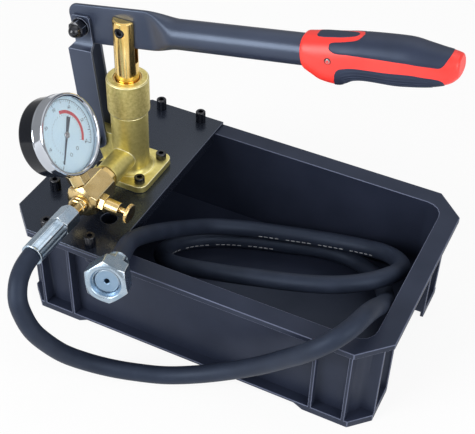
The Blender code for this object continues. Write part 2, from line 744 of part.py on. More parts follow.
def screw_shape(head_height, grip):
    """A socket screw along Z with its head's underside at zero."""
    return turned(
        [
            (0, head_height - SOCKET_DEPTH), (SOCKET_RADIUS, head_height - SOCKET_DEPTH),
            (SOCKET_RADIUS, head_height), (SCREW_HEAD_RADIUS, head_height),
            (SCREW_HEAD_RADIUS, 0), (SCREW_RADIUS, 0), (SCREW_RADIUS, -grip), (0, -grip),
        ],
        SMALL_STEPS,
    )


def make_screws(finishes):
    for index, (x, y) in enumerate(plate_screw_places(), start=1):
        shape = screw_shape(SCREW_HEAD_HEIGHT, SCREW_GRIP)
        piece(f"plate_screw_{index}", shape, finishes["screw_black"], (x, y, PLATE_HIGH + GAP))
    for index, (x, y) in enumerate(flange_screw_places(), start=1):
        shape = screw_shape(FLANGE_HEAD_HEIGHT, FLANGE_SCREW_GRIP)
        piece(f"flange_screw_{index}", shape, finishes["screw_black"], (x, y, FLANGE_HIGH + GAP))


# Pump
def make_pump_body(finishes):
    """The casting: flange, cylinder, outlet boss, ear for the link, and suction spigot."""
    fillet = TUBE_RADIUS + TUBE_FILLET
    low = FLANGE_LOW - SPIGOT_DROP
    profile = [
        (0, low), (SPIGOT_RADIUS, low), (SPIGOT_RADIUS, FLANGE_LOW + WELD),
        (fillet, FLANGE_LOW + WELD), (fillet, FLANGE_HIGH + WELD / 2),
        (TUBE_RADIUS + TUBE_FILLET / 3, FLANGE_HIGH + TUBE_FILLET / 3),
        (TUBE_RADIUS, FLANGE_HIGH + TUBE_FILLET), (TUBE_RADIUS, TUBE_HIGH),
        (NECK_RADIUS, TUBE_HIGH), (NECK_RADIUS, NECK_HIGH), (0, NECK_HIGH),
    ]
    place = (PUMP_X, PUMP_Y, 0)
    body = piece("pump_body", turned(profile), finishes["cast_brass"], place)
    flange = rounded(FLANGE_HALF, FLANGE_HALF, FLANGE_RADIUS)
    join(body, "flange", prism(flange, FLANGE_LOW, FLANGE_HIGH))
    outlet = along(rod(OUTLET_RADIUS, 0, OUTLET_REACH), (0, -1, 0), (0, 0, OUTLET_Z))
    join(body, "outlet", outlet)
    join(body, "ear", ear_shape())
    cut_pump_bores(body)
    return body


def ear_shape():
    """The lug that carries the link's lower pin, in the body's own space."""
    centre = EAR_PIN - Vector((PUMP_X, PUMP_Y, 0))
    points = [(-TUBE_RADIUS / 2, FLANGE_HIGH - WELD), (-TUBE_RADIUS / 2, centre.z + EAR_RADIUS)]
    for step in range(7):
        angle = QUARTER_TURN + FULL_TURN / 2 * step / 6
        x = centre.x + EAR_RADIUS * math.cos(angle)
        z = centre.z + EAR_RADIUS * math.sin(angle)
        points.append((x, z))
    points.append((-TUBE_RADIUS - EAR_FOOT / 2, FLANGE_HIGH - WELD))
    half = EAR_THICKNESS / 2
    shift = EAR_Y - PUMP_Y
    rings = [[(x, shift + side * half, z) for x, z in points] for side in (-1, 1)]
    return skinned(rings)


def cut_pump_bores(body):
    floor = FLANGE_LOW + BORE_FLOOR
    step = floor - SUCTION_STEP
    low = FLANGE_LOW - SPIGOT_DROP - OVERRUN
    high = NECK_HIGH + OVERRUN
    bore = [
        (0, low), (CHAMBER_RADIUS, low), (CHAMBER_RADIUS, step), (SUCTION_RADIUS, step),
        (SUCTION_RADIUS, floor), (BORE_RADIUS, floor), (BORE_RADIUS, high), (0, high),
    ]
    cut(body, "bore", turned(bore))
    chamber = OUTLET_REACH - OUTLET_CHAMBER
    end = OUTLET_REACH + OVERRUN
    passage = [
        (0, 0), (OUTLET_PASSAGE, 0), (OUTLET_PASSAGE, chamber),
        (MANIFOLD_SPIGOT + GAP, chamber), (MANIFOLD_SPIGOT + GAP, end), (0, end),
    ]
    cut(body, "outlet_bore", along(turned(passage), (0, -1, 0), (0, 0, OUTLET_Z)))
    for index, (x, y) in enumerate(flange_screw_places()):
        shape = rod(SCREW_RADIUS + GAP, FLANGE_LOW - OVERRUN, FLANGE_HIGH + OVERRUN, SMALL_STEPS)
        cut(body, f"screw_hole_{index}", shape, (x - PUMP_X, y - PUMP_Y, 0))
    centre = EAR_PIN - Vector((PUMP_X, PUMP_Y, 0))
    reach = EAR_THICKNESS + OVERRUN
    shape = along(rod(EAR_PIN_RADIUS + PIN_HOLE_CLEARANCE, -reach, reach), (0, -1, 0), centre)
    cut(body, "ear_hole", shape)


def make_gland(finishes):
    """The gland nut round the cylinder's neck, the packing below its lid and the wiper on top."""
    place = (PUMP_X, PUMP_Y, 0)
    low = TUBE_HIGH + GAP
    high = low + GLAND_HEIGHT
    under = high - GLAND_SEAT - GLAND_LAND
    seat = high - GLAND_SEAT
    inner = NECK_RADIUS + GAP
    nut_profile = [
        (TUBE_RADIUS + GAP, low), (GLAND_RADIUS, low + GLAND_CHAMFER),
        (GLAND_RADIUS, high - GLAND_CHAMFER / 4), (GLAND_RADIUS - GLAND_CHAMFER / 4, high),
        (WIPER_RADIUS + GAP, high), (WIPER_RADIUS + GAP, seat),
        (BORE_RADIUS, seat), (BORE_RADIUS, under), (inner, under), (inner, low),
    ]
    piece("gland_nut", turned(nut_profile, closed=True), finishes["cast_brass"], place)
    packing_low = NECK_HIGH + GAP
    packing_high = min(packing_low + PACKING_HEIGHT, under - GAP)
    shape = tube(NECK_RADIUS - GAP, BORE_RADIUS, packing_low, packing_high)
    piece("gland_packing", shape, finishes["seal_white"], place)
    shape = tube(WIPER_RADIUS, BORE_RADIUS, seat + GAP, seat + GAP + WIPER_HEIGHT)
    piece("wiper_ring", shape, finishes["bright_brass"], place)


def make_plunger(finishes):
    """The plunger on its slide, with its cross pin and piston seal."""
    slide = empty("plunger_axis", (PUMP_X, PUMP_Y, FLANGE_HIGH))
    groove_low = PLUNGER_BOTTOM + SEAL_RISE
    groove_high = groove_low + SEAL_HEIGHT
    waist = PLUNGER_RADIUS - SEAL_DEPTH
    profile = [
        (0, PLUNGER_BOTTOM), (PLUNGER_RADIUS, PLUNGER_BOTTOM), (PLUNGER_RADIUS, groove_low),
        (waist, groove_low), (waist, groove_high), (PLUNGER_RADIUS, groove_high),
        (PLUNGER_RADIUS, PLUNGER_TOP - PLUNGER_CHAMFER),
        (PLUNGER_RADIUS - PLUNGER_CHAMFER, PLUNGER_TOP), (0, PLUNGER_TOP),
    ]
    plunger = piece("plunger", turned(profile), finishes["bright_brass"], parent=slide)
    reach = PLUNGER_RADIUS + OVERRUN
    low = PLUNGER_TOP - PLUNGER_SLOT_DEPTH
    half = PLUNGER_SLOT / 2
    cut(plunger, "slot", box((-reach, -half, low), (reach, half, PLUNGER_TOP + OVERRUN)))
    pin = pin_place() - Vector((PUMP_X, PUMP_Y, FLANGE_HIGH))
    hole = rod(PIN_RADIUS + PIN_HOLE_CLEARANCE, -reach, reach)
    cut(plunger, "pin_hole", along(hole, (0, -1, 0), pin))
    head_from = PLUNGER_RADIUS - PIN_HEAD_DEPTH - GAP
    head = rod(PIN_HEAD_RADIUS + PIN_HOLE_CLEARANCE, head_from - WELD, reach)
    cut(plunger, "pin_head_seat", along(head, (0, -1, 0), pin))
    make_plunger_pin(finishes, slide, pin, head_from)
    ring_low = groove_low + GAP
    ring_high = groove_high - GAP
    middle = (ring_low + ring_high) / 2
    seal = [
        (waist + GAP, ring_low), (PLUNGER_RADIUS, ring_low),
        (PLUNGER_RADIUS + GAP / 2, middle), (PLUNGER_RADIUS, ring_high), (waist + GAP, ring_high),
    ]
    piece("piston_seal", turned(seal, closed=True), finishes["rubber_black"], parent=slide)


def pin_place():
    """The plunger's cross pin, where the lever's axis crosses the pump's."""
    return Vector((PUMP_X, PUMP_Y, PIN_HEIGHT))


def make_plunger_pin(finishes, slide, place, head_from):
    """The cross pin with a socket head sunk into the front cheek."""
    tail = -math.sqrt(PLUNGER_RADIUS**2 - PIN_RADIUS**2) + GAP
    top = head_from + PIN_HEAD_DEPTH
    profile = [
        (0, top - SOCKET_DEPTH / 2), (SOCKET_RADIUS, top - SOCKET_DEPTH / 2), (SOCKET_RADIUS, top),
        (PIN_HEAD_RADIUS, top), (PIN_HEAD_RADIUS, head_from), (PIN_RADIUS, head_from),
        (PIN_RADIUS, tail), (0, tail),
    ]
    shape = along(turned(profile), (0, -1, 0))
    piece("plunger_pin", shape, finishes["screw_black"], place, parent=slide)


def make_suction(finishes):
    """The suction valve under the cylinder and the strainer that hangs into the tank."""
    place = (PUMP_X, PUMP_Y, 0)
    spigot_low = FLANGE_LOW - SPIGOT_DROP
    seat_high = spigot_low + VALVE_SEAT_HEIGHT
    hex_high = spigot_low - GAP
    hex_low = hex_high - VALVE_SEAT_HEX_HEIGHT
    spigot = STRAINER_SPIGOT + GAP
    shape = prism(hexagon(VALVE_SEAT_HEX), hex_low, hex_high)
    seat = piece("suction_valve_seat", shape, finishes["bright_brass"], place)
    join(seat, "plug", rod(VALVE_SEAT_RADIUS, hex_low - spigot, seat_high))
    bore = rod(VALVE_BORE_RADIUS, hex_low - spigot - OVERRUN, seat_high + OVERRUN, SMALL_STEPS)
    cut(seat, "bore", bore)
    lift = math.sqrt(SUCTION_BALL_RADIUS**2 - VALVE_BORE_RADIUS**2)
    make_ball(finishes, "suction_ball", SUCTION_BALL_RADIUS, (PUMP_X, PUMP_Y, seat_high + lift + GAP))
    top = hex_low - GAP
    low = FLOOR_TOP + STRAINER_LIFT
    bore = STRAINER_RADIUS - STRAINER_WALL
    neck = VALVE_SEAT_RADIUS + GAP
    profile = [
        (0, low), (STRAINER_RADIUS, low), (STRAINER_RADIUS, top), (neck, top),
        (neck, top - STRAINER_SPIGOT - 2 * GAP), (bore, top - STRAINER_SPIGOT - 2 * GAP),
        (bore, low + STRAINER_WALL), (0, low + STRAINER_WALL),
    ]
    strainer = piece("suction_strainer", turned(profile), finishes["black_plastic"], place)
    reach = STRAINER_RADIUS + OVERRUN
    height = low + STRAINER_WALL + 2 * STRAINER_HOLE_RADIUS
    for label, axis in (("holes_x", (1, 0, 0)), ("holes_y", (0, 1, 0))):
        shape = along(rod(STRAINER_HOLE_RADIUS, -reach, reach, SMALL_STEPS), axis, (0, 0, height))
        cut(strainer, label, shape)


def make_ball(finishes, name, radius, place, parent=None):
    """A valve ball."""
    angles = [math.pi * index / BALL_STEPS for index in range(BALL_STEPS + 1)]
    inner = [(radius * math.sin(a), -radius * math.cos(a)) for a in angles[1:-1]]
    profile = [(0, -radius)] + inner + [(0, radius)]
    return piece(name, turned(profile, SMALL_STEPS), finishes["steel"], place, parent=parent)


# Manifold
def make_manifold(finishes):
    """The hexagon body on the outlet, its lock nut, the hose adapter and the discharge ball."""
    origin = (PUMP_X, 0, OUTLET_Z)
    nut_shape = nut(OUTLET_NUT_FLATS, 0, OUTLET_NUT_LENGTH, MANIFOLD_SPIGOT + GAP)
    place = (PUMP_X, OUTLET_FACE - GAP, OUTLET_Z)
    piece("outlet_nut", along(nut_shape, (0, -1, 0)), finishes["bright_brass"], place)
    flats = [(x, z) for x, z in hexagon(MANIFOLD_FLATS, VALVE_LEAN)]
    small = [(x, z) for x, z in hexagon(MANIFOLD_FLATS - 2 * MANIFOLD_CHAMFER, VALVE_LEAN)]
    stations = [
        (small, MANIFOLD_BACK), (flats, MANIFOLD_BACK - MANIFOLD_CHAMFER),
        (flats, MANIFOLD_FRONT + MANIFOLD_CHAMFER), (small, MANIFOLD_FRONT),
    ]
    rings = [[(x, y, z) for x, z in outline] for outline, y in stations]
    body = piece("manifold_body", skinned(rings), finishes["cast_brass"], origin)
    spigot = rod(MANIFOLD_SPIGOT, -MANIFOLD_SPIGOT_LENGTH, WELD)
    join(body, "spigot", along(spigot, (0, -1, 0), (0, MANIFOLD_BACK, 0)))
    back = MANIFOLD_BACK + MANIFOLD_SPIGOT_LENGTH + OVERRUN
    shape = rod(MANIFOLD_BORE, -back, -MANIFOLD_FRONT + OVERRUN, SMALL_STEPS)
    cut(body, "bore", along(shape, (0, -1, 0)))
    hose_port = rod(PORT_RADIUS + GAP, -PORT_DEPTH, OVERRUN)
    cut(body, "hose_port", along(hose_port, (0, -1, 0), (0, MANIFOLD_FRONT, 0)))
    for label, lean, radius in (
        ("valve_port", VALVE_LEAN, BONNET_SPIGOT_RADIUS + GAP),
        ("gauge_port", GAUGE_LEAN + QUARTER_TURN, STEM_RADIUS + GAP),
    ):
        port = turned(
            [
                (0, 0), (MANIFOLD_BORE, 0), (MANIFOLD_BORE, MANIFOLD_FLATS / 2 - PORT_DEPTH),
                (radius, MANIFOLD_FLATS / 2 - PORT_DEPTH), (radius, MANIFOLD_FLATS / 2 + OVERRUN),
                (0, MANIFOLD_FLATS / 2 + OVERRUN),
            ]
        )
        axis = (math.cos(lean), 0, math.sin(lean))
        cut(body, label, along(port, axis, (0, PORT_Y, 0)))
    make_adapter(finishes, origin)
    hold = math.sqrt(DISCHARGE_BALL_RADIUS**2 - OUTLET_PASSAGE**2)
    seat = OUTLET_FACE + OUTLET_CHAMBER - hold - GAP
    make_ball(finishes, "discharge_ball", DISCHARGE_BALL_RADIUS, (PUMP_X, seat, OUTLET_Z))


def make_adapter(finishes, origin):
    """The stepped brass adapter between the manifold and the hose's nut."""
    tail = PORT_DEPTH - GAP
    nose = ADAPTER_LENGTH + ADAPTER_NOSE
    profile = [
        (PORT_RADIUS, -tail), (PORT_RADIUS, GAP), (ADAPTER_RADIUS, GAP),
        (ADAPTER_RADIUS, ADAPTER_STEP), (ADAPTER_STEP_RADIUS, ADAPTER_STEP),
        (ADAPTER_STEP_RADIUS, ADAPTER_LENGTH), (ADAPTER_NOSE_RADIUS, ADAPTER_LENGTH),
        (ADAPTER_NOSE_RADIUS, nose), (MANIFOLD_BORE, nose), (MANIFOLD_BORE, -tail),
    ]
    shape = along(turned(profile, closed=True), (0, -1, 0), (0, MANIFOLD_FRONT, 0))
    piece("hose_adapter", shape, finishes["bright_brass"], origin)


def make_release_valve(finishes):
    """Bonnet, spindle and knob, along Z of an empty at the port."""
    axis = empty(
        "release_axis", (PUMP_X, PORT_Y, OUTLET_Z), (0, QUARTER_TURN - VALVE_LEAN, 0)
    )
    face = MANIFOLD_FLATS / 2 + GAP
    hex_end = face + BONNET_HEX_LENGTH
    end = hex_end + BONNET_LENGTH
    bore = SPINDLE_RADIUS + GAP
    shape = prism(hexagon(BONNET_FLATS), face, hex_end)
    bonnet = piece("release_bonnet", shape, finishes["bright_brass"], parent=axis)
    join(bonnet, "barrel", rod(BONNET_RADIUS, face + WELD, end))
    join(bonnet, "tail", rod(BONNET_SPIGOT_RADIUS, face - BONNET_SPIGOT, face + WELD / 2))
    hole = rod(bore, face - BONNET_SPIGOT - OVERRUN, end + OVERRUN, SMALL_STEPS)
    cut(bonnet, "bore", hole)
    tail = end - SPINDLE_TAIL
    tip = end + SPINDLE_REACH
    profile = [
        (0, tail - SPINDLE_RADIUS), (SPINDLE_RADIUS, tail), (SPINDLE_RADIUS, tip),
        (0, tip),
    ]
    piece("release_spindle", turned(profile, SMALL_STEPS), finishes["bright_brass"], parent=axis)
    low = tip + GAP
    high = low + KNOB_THICKNESS
    knob = [
        (0, low), (KNOB_RADIUS - KNOB_EDGE, low), (KNOB_RADIUS, low + KNOB_EDGE),
        (KNOB_RADIUS, high - KNOB_EDGE), (KNOB_RADIUS - KNOB_EDGE, high), (0, high),
    ]
    piece("release_knob", turned(knob), finishes["bright_brass"], parent=axis)


# Gauge
def make_gauge(finishes):
    """The gauge in its own frame: X out of the dial, Z up its stem."""
    frame = empty("gauge_frame", (PUMP_X, PORT_Y, OUTLET_Z), (0, -GAUGE_LEAN, 0))
    centre = empty("gauge_centre", (0, 0, GAUGE_REACH), (0, QUARTER_TURN, 0), frame)
    make_gauge_case(finishes, centre)
    make_gauge_face(finishes, centre)
    make_gauge_stem(finishes, frame)
    make_gauge_works(finishes, centre)


def make_gauge_case(finishes, centre):
    """Case and bezel turned round the dial's axis, which is the empty's Z."""
    back = BEZEL_FRONT - CASE_DEPTH
    joint = BEZEL_FRONT - BEZEL_DEPTH
    inner = CASE_RADIUS - CASE_WALL
    case = [
        (0, back), (CASE_RADIUS - CASE_WALL, back), (CASE_RADIUS, back + CASE_WALL),
        (CASE_RADIUS, joint - GAP), (inner, joint - GAP), (inner, back + CASE_WALL),
        (0, back + CASE_WALL),
    ]
    made = piece("gauge_case", turned(case, LARGE_STEPS), finishes["chrome"], parent=centre)
    hole = along(rod(STEM_RADIUS + GAP, CASE_RADIUS / 2, CASE_RADIUS + OVERRUN), (1, 0, 0))
    cut(made, "stem_hole", hole)
    front = BEZEL_FRONT
    wall = BEZEL_RADIUS - CASE_WALL
    bezel = [
        (wall, joint), (BEZEL_RADIUS, joint), (BEZEL_RADIUS, front - BEZEL_LIP_DEPTH / 2),
        (BEZEL_RADIUS - BEZEL_LIP / 2, front), (BEZEL_RADIUS - BEZEL_LIP, front - BEZEL_LIP_DEPTH / 2),
        (BEZEL_RADIUS - BEZEL_LIP, front - BEZEL_LIP_DEPTH), (wall, front - BEZEL_LIP_DEPTH),
    ]
    piece("gauge_bezel", turned(bezel, LARGE_STEPS, closed=True), finishes["chrome"], parent=centre)


def make_gauge_face(finishes, centre):
    """Glass, dial and needle. The needle turns about the dial's axis."""
    radius = BEZEL_RADIUS - CASE_WALL - GAP
    glass_high = BEZEL_FRONT - BEZEL_LIP_DEPTH - GAP
    shape = rod(radius, glass_high - GLASS_THICKNESS, glass_high, LARGE_STEPS)
    piece("gauge_glass", shape, finishes["glass"], parent=centre)
    dial_high = BEZEL_FRONT - DIAL_DEPTH
    dial_low = dial_high - DIAL_THICKNESS
    shape = tube(radius, ARBOR_RADIUS + GAP, dial_low, dial_high, LARGE_STEPS)
    piece("gauge_dial", shape, finishes["dial_white"], parent=centre)
    low = dial_high + GAP
    high = low + NEEDLE_THICKNESS
    direction = Vector((-math.sin(NEEDLE_REST), math.cos(NEEDLE_REST), 0))
    side = Vector((-direction.y, direction.x, 0))
    half = NEEDLE_WIDTH / 2
    point = NEEDLE_POINT / 2
    outline = [
        NEEDLE_LENGTH * direction - point * side, NEEDLE_LENGTH * direction + point * side,
        half * side / 2, half * side - NEEDLE_TAIL * direction,
        -half * side - NEEDLE_TAIL * direction, -half * side / 2,
    ]
    shape = prism([(spot.x, spot.y) for spot in outline], low, high)
    needle = piece("gauge_needle", shape, finishes["needle_black"], parent=centre)
    join(needle, "hub", rod(NEEDLE_HUB_RADIUS, low, high + NEEDLE_THICKNESS, SMALL_STEPS))
    arbor = rod(ARBOR_RADIUS, high - ARBOR_LENGTH, low + NEEDLE_THICKNESS / 2, SMALL_STEPS)
    join(needle, "arbor", arbor)


def make_gauge_stem(finishes, frame):
    """The stem: thread in the manifold, hexagon, neck and the block inside the case."""
    face = MANIFOLD_FLATS / 2 + GAP
    hex_end = face + STEM_HEX_LENGTH
    end = GAUGE_REACH - TUBE_RING_RADIUS + SOCKET_BLOCK / 4
    shape = prism(hexagon(STEM_FLATS), face, hex_end)
    stem = piece("gauge_stem", shape, finishes["bright_brass"], parent=frame)
    join(stem, "neck", rod(STEM_RADIUS, face - STEM_SPIGOT, end))
    bore = rod(MANIFOLD_BORE, face - STEM_SPIGOT - OVERRUN, end - MANIFOLD_BORE, SMALL_STEPS)
    cut(stem, "bore", bore)


def make_gauge_works(finishes, centre):
    """The bent pressure tube that starts at the stem, and the movement that turns the needle."""
    middle = BEZEL_FRONT - CASE_DEPTH + CASE_WALL + 2 * TUBE_RING_HALF_WIDTH
    steps = 16
    rings = []
    start = math.pi - math.asin((STEM_RADIUS + GAP) / (TUBE_RING_RADIUS - TUBE_RING_HALF_WALL))
    for step in range(steps + 1):
        angle = start - TUBE_RING_SWEEP * step / steps
        outward = Vector((-math.cos(angle), math.sin(angle), 0))
        ring = []
        for out, rise in ((-1, -1), (1, -1), (1, 1), (-1, 1)):
            radius = TUBE_RING_RADIUS + out * TUBE_RING_HALF_WALL
            height = middle + rise * TUBE_RING_HALF_WIDTH
            ring.append(radius * outward + Vector((0, 0, height)))
        rings.append(ring)
    piece("gauge_tube", skinned(rings), finishes["bright_brass"], parent=centre)
    dial_low = BEZEL_FRONT - DIAL_DEPTH - DIAL_THICKNESS
    high = dial_low - GAP
    low = high - MOVEMENT_DEPTH
    half = MOVEMENT_SIZE / 2
    shape = box((-half, -half, low), (half, half, high))
    movement = piece("gauge_movement", shape, finishes["bright_brass"], parent=centre)
    cut(movement, "arbor_hole", rod(ARBOR_RADIUS + GAP, low - OVERRUN, high + OVERRUN, SMALL_STEPS))


# Lever linkage
def strap_shape(near, joggle):
    """A flat strap from below the ear pin to above the fulcrum, joggled out below its narrow neck."""
    half = STRAP_WIDTH / 2
    stations = []
    for step in range(1, 6):
        angle = QUARTER_TURN * step / 5
        stations.append((-half * math.cos(angle), half * math.sin(angle), joggle, 0.0))
    top = LINK_LENGTH + STRAP_TOP
    neck = STRAP_NECK_WIDTH / 2
    mitre = STRAP_THICKNESS / 2 * math.tan(math.atan2(-joggle, JOGGLE_RUN) / 2)
    stations += [
        (JOGGLE_LOW, half, joggle, mitre), (JOGGLE_HIGH, neck, 0.0, mitre),
        (top - STRAP_BEVEL, neck, 0.0, 0.0), (top, STRAP_TOP_WIDTH / 2, 0.0, 0.0),
    ]
    rings = []
    for height, wide, shift, rise in stations:
        front = near + shift
        back = front + STRAP_THICKNESS
        rings.append(
            [
                (-wide, front, height + rise), (wide, front, height + rise),
                (wide, back, height - rise), (-wide, back, height - rise),
            ]
        )
    return skinned(rings)


def make_links(finishes):
    """Both straps on the ear pin's axis."""
    axis = empty("link_axis", EAR_PIN, (0, -LINK_LEAN, 0))
    reach = STRAP_WIDTH
    for name, near, joggle in (
        ("link_strap_front", FRONT_STRAP_Y, -STRAP_JOGGLE),
        ("link_strap_rear", REAR_STRAP_Y, 0.0),
    ):
        strap = piece(name, strap_shape(near, joggle), finishes["black_steel"], parent=axis)
        lower = rod(EAR_PIN_RADIUS + PIN_HOLE_CLEARANCE, -reach, reach)
        cut(strap, "ear_hole", along(lower, (0, -1, 0)))
        upper = rod(FULCRUM_RADIUS + PIN_HOLE_CLEARANCE, -reach, reach)
        cut(strap, "fulcrum_hole", along(upper, (0, -1, 0), (0, 0, LINK_LENGTH)))
    make_fulcrum(finishes, axis)
    make_ear_pin(finishes)


def make_ear_pin(finishes):
    """The pin through ear and straps, with a head in front and a nut behind."""
    front = -(FRONT_STRAP_Y - STRAP_JOGGLE) + GAP
    rear = REAR_STRAP_Y + STRAP_THICKNESS + GAP
    shape = nut(EAR_HEAD_FLATS, front, front + EAR_HEAD_HEIGHT, EAR_PIN_RADIUS / 2)
    pin = piece("ear_pin", along(shape, (0, -1, 0)), finishes["screw_black"], EAR_PIN)
    shank = rod(EAR_PIN_RADIUS, -rear - EAR_HEAD_HEIGHT, front + EAR_HEAD_HEIGHT / 2)
    join(pin, "shank", along(shank, (0, -1, 0)))
    bore = EAR_PIN_RADIUS + PIN_HOLE_CLEARANCE
    shape = along(nut(EAR_HEAD_FLATS, rear, rear + EAR_HEAD_HEIGHT, bore), (0, 1, 0))
    piece("ear_pin_nut", shape, finishes["screw_black"], EAR_PIN)


def make_fulcrum(finishes, axis):
    """The bolt that the lever rocks on, with its washer and cap nut in front."""
    place = (0, 0, LINK_LENGTH)
    front = -FRONT_STRAP_Y + GAP
    rear = REAR_STRAP_Y + STRAP_THICKNESS + GAP
    washer_end = front + WASHER_THICKNESS
    nut_from = washer_end + GAP
    bolt = nut(FULCRUM_FLATS, rear, rear + FULCRUM_HEAD, FULCRUM_RADIUS / 2)
    made = piece("fulcrum_bolt", along(bolt, (0, 1, 0)), finishes["screw_black"], place, parent=axis)
    shank = rod(FULCRUM_RADIUS, -rear - FULCRUM_HEAD / 2, nut_from + CAP_NUT_BORE - 2 * GAP)
    join(made, "shank", along(shank, (0, -1, 0)))
    bore = FULCRUM_RADIUS + PIN_HOLE_CLEARANCE
    shape = along(tube(WASHER_RADIUS, bore, front, washer_end), (0, -1, 0))
    piece("fulcrum_washer", shape, finishes["screw_black"], place, parent=axis)
    high = nut_from + CAP_NUT_HEIGHT
    shape = prism(hexagon(FULCRUM_FLATS), nut_from, high)
    cap = piece("fulcrum_cap_nut", along(shape, (0, -1, 0)), finishes["screw_black"], place, parent=axis)
    dome_radius = FULCRUM_FLATS / 2 - WELD
    dome = [(0, high - WELD), (dome_radius, high - WELD)]
    for step in range(5):
        angle = QUARTER_TURN * step / 5
        dome.append((dome_radius * math.cos(angle), high + CAP_NUT_DOME * math.sin(angle)))
    dome.append((0, high + CAP_NUT_DOME))
    join(cap, "dome", along(turned(dome), (0, -1, 0)))
    hole = rod(bore, nut_from - OVERRUN, nut_from + CAP_NUT_BORE)
    cut(cap, "bore", along(hole, (0, -1, 0)))


def lever_section(reach, half_height, half_thick, steps=ROUND_STEPS):
    """A cross-section of the lever: a rounded rectangle that turns into a circle."""
    ring = []
    flatness = 1 - half_thick / half_height
    power = 1 - flatness * 3 / 4
    for step in range(steps):
        angle = FULL_TURN * step / steps
        across = math.cos(angle)
        rise = math.sin(angle)
        y = half_thick * math.copysign(abs(across) ** power, across)
        z = half_height * math.copysign(abs(rise) ** power, rise)
        ring.append((reach, y, z))
    return ring


def make_lever(finishes):
    """The lever on the fulcrum: a tube pressed flat at the pump end, open at the grip end."""
    axis = empty("lever_axis", FULCRUM, (0, -LEVER_PITCH, 0))
    half_high = LEVER_FLAT_HEIGHT / 2
    half_thick = LEVER_FLAT_THICKNESS / 2
    middle = (LEVER_FLAT_LENGTH + LEVER_ROUND_FROM) / 2
    mean_high = (half_high + LEVER_TUBE_RADIUS) / 2
    mean_thick = (half_thick + LEVER_TUBE_RADIUS) / 2
    inner = LEVER_TUBE_RADIUS - LEVER_TUBE_WALL
    bend = LEVER_END / 3
    stations = [
        (-LEVER_END, half_high * 2 / 3, half_thick), (bend - LEVER_END, half_high * 8 / 9, half_thick),
        (2 * bend - LEVER_END, half_high, half_thick), (LEVER_FLAT_LENGTH, half_high, half_thick),
        (middle, mean_high, mean_thick), (LEVER_ROUND_FROM, LEVER_TUBE_RADIUS, LEVER_TUBE_RADIUS),
        (LEVER_LENGTH, LEVER_TUBE_RADIUS, LEVER_TUBE_RADIUS), (LEVER_LENGTH, inner, inner),
        (LEVER_ROUND_FROM + inner, inner, inner),
    ]
    rings = [lever_section(*station) for station in stations]
    lever = piece("lever_tube", skinned(rings), finishes["black_steel"], parent=axis)
    reach = LEVER_FLAT_THICKNESS + OVERRUN
    hole = rod(FULCRUM_RADIUS + PIN_HOLE_CLEARANCE, -reach, reach)
    cut(lever, "fulcrum_hole", along(hole, (0, -1, 0)))
    hole = rod(PIN_RADIUS + OPEN_PIVOT_CLEARANCE, -reach, reach)
    cut(lever, "pin_hole", along(hole, (0, -1, 0), (LEVER_PIN_REACH, 0, 0)))
    make_grip(finishes, axis)


def grip_measure(share):
    """(reach, middle height, half height, half width) of the grip at a share of its length."""
    reach = GRIP_FROM + share * GRIP_LENGTH
    pairs = list(zip(GRIP_SHARES, GRIP_SHARES[1:]))
    for first, second in pairs:
        if share <= second[0]:
            break
    part = (share - first[0]) / (second[0] - first[0])
    low, high, wide = (first[k] + part * (second[k] - first[k]) for k in (1, 2, 3))
    middle = GRIP_TALLEST * (low + high) / 2
    half = GRIP_TALLEST * (high - low) / 2
    return reach, middle, half, GRIP_HALF_WIDTH * wide


def grip_point(share, angle, sunk):
    """A point on the grip's skin, sunk below it. Zero degrees is +Y and 90 degrees is up."""
    reach, middle, half, wide = grip_measure(share)
    across = math.cos(angle)
    rise = math.sin(angle)
    y = (wide - sunk) * math.copysign(abs(across) ** GRIP_SQUARENESS, across)
    z = middle + (half - sunk) * math.copysign(abs(rise) ** GRIP_SQUARENESS, rise)
    return (reach, y, z)


def make_grip(finishes, axis):
    """The grip's red shell, the black pads let into it and the screw that holds it."""
    rings = []
    for share, *_ in GRIP_SHARES:
        angles = [FULL_TURN * step / ROUND_STEPS for step in range(ROUND_STEPS)]
        rings.append([grip_point(share, angle, 0) for angle in angles])
    shell = piece("grip_shell", skinned(rings), finishes["grip_red"], parent=axis)
    bore = rod(LEVER_TUBE_RADIUS + GAP, GRIP_FROM - OVERRUN, GRIP_FROM + GRIP_BORE_LENGTH)
    cut(shell, "bore", along(bore, (1, 0, 0)))
    pads = (
        ("grip_top_pad", TOP_PAD_SHARES, TOP_PAD_EDGES),
        ("grip_thumb_pad", THUMB_PAD_SHARES, THUMB_PAD_EDGES),
        ("grip_finger_pad_front", FINGER_PAD_SHARES, FINGER_PAD_EDGES),
        ("grip_finger_pad_rear", FINGER_PAD_SHARES, mirrored(FINGER_PAD_EDGES)),
    )
    for name, shares, edges in pads:
        shape = pad_shape(shares, edges, PAD_DEPTH, PAD_PROUD, 0)
        piece(name, shape, finishes["rubber_black"], parent=axis)
        cut(shell, name, pad_shape(shares, edges, PAD_DEPTH + GAP, OVERRUN, GAP))
    make_grip_screw(finishes, axis, shell)


def mirrored(edges):
    """The same edges on the other side of the grip."""
    return (math.pi - edges[1], math.pi - edges[0])


def pad_shape(shares, edges, depth, proud, margin):
    """A pad that follows the grip's skin, or with a margin all round, the recess for it."""
    first = shares[0] - margin / GRIP_LENGTH
    last = shares[1] + margin / GRIP_LENGTH
    widen = margin / GRIP_HALF_WIDTH
    low = edges[0] - widen
    high = edges[1] + widen
    rows = math.ceil((high - low) / PAD_FACET)
    angles = [low + (high - low) * row / rows for row in range(rows + 1)]
    inside = [share for share, *_ in GRIP_SHARES if first < share < last]
    rings = []
    for share in [first] + inside + [last]:
        outer = [grip_point(share, angle, -proud) for angle in angles]
        inner = [grip_point(share, angle, depth) for angle in reversed(angles)]
        rings.append(outer + inner)
    return skinned(rings)


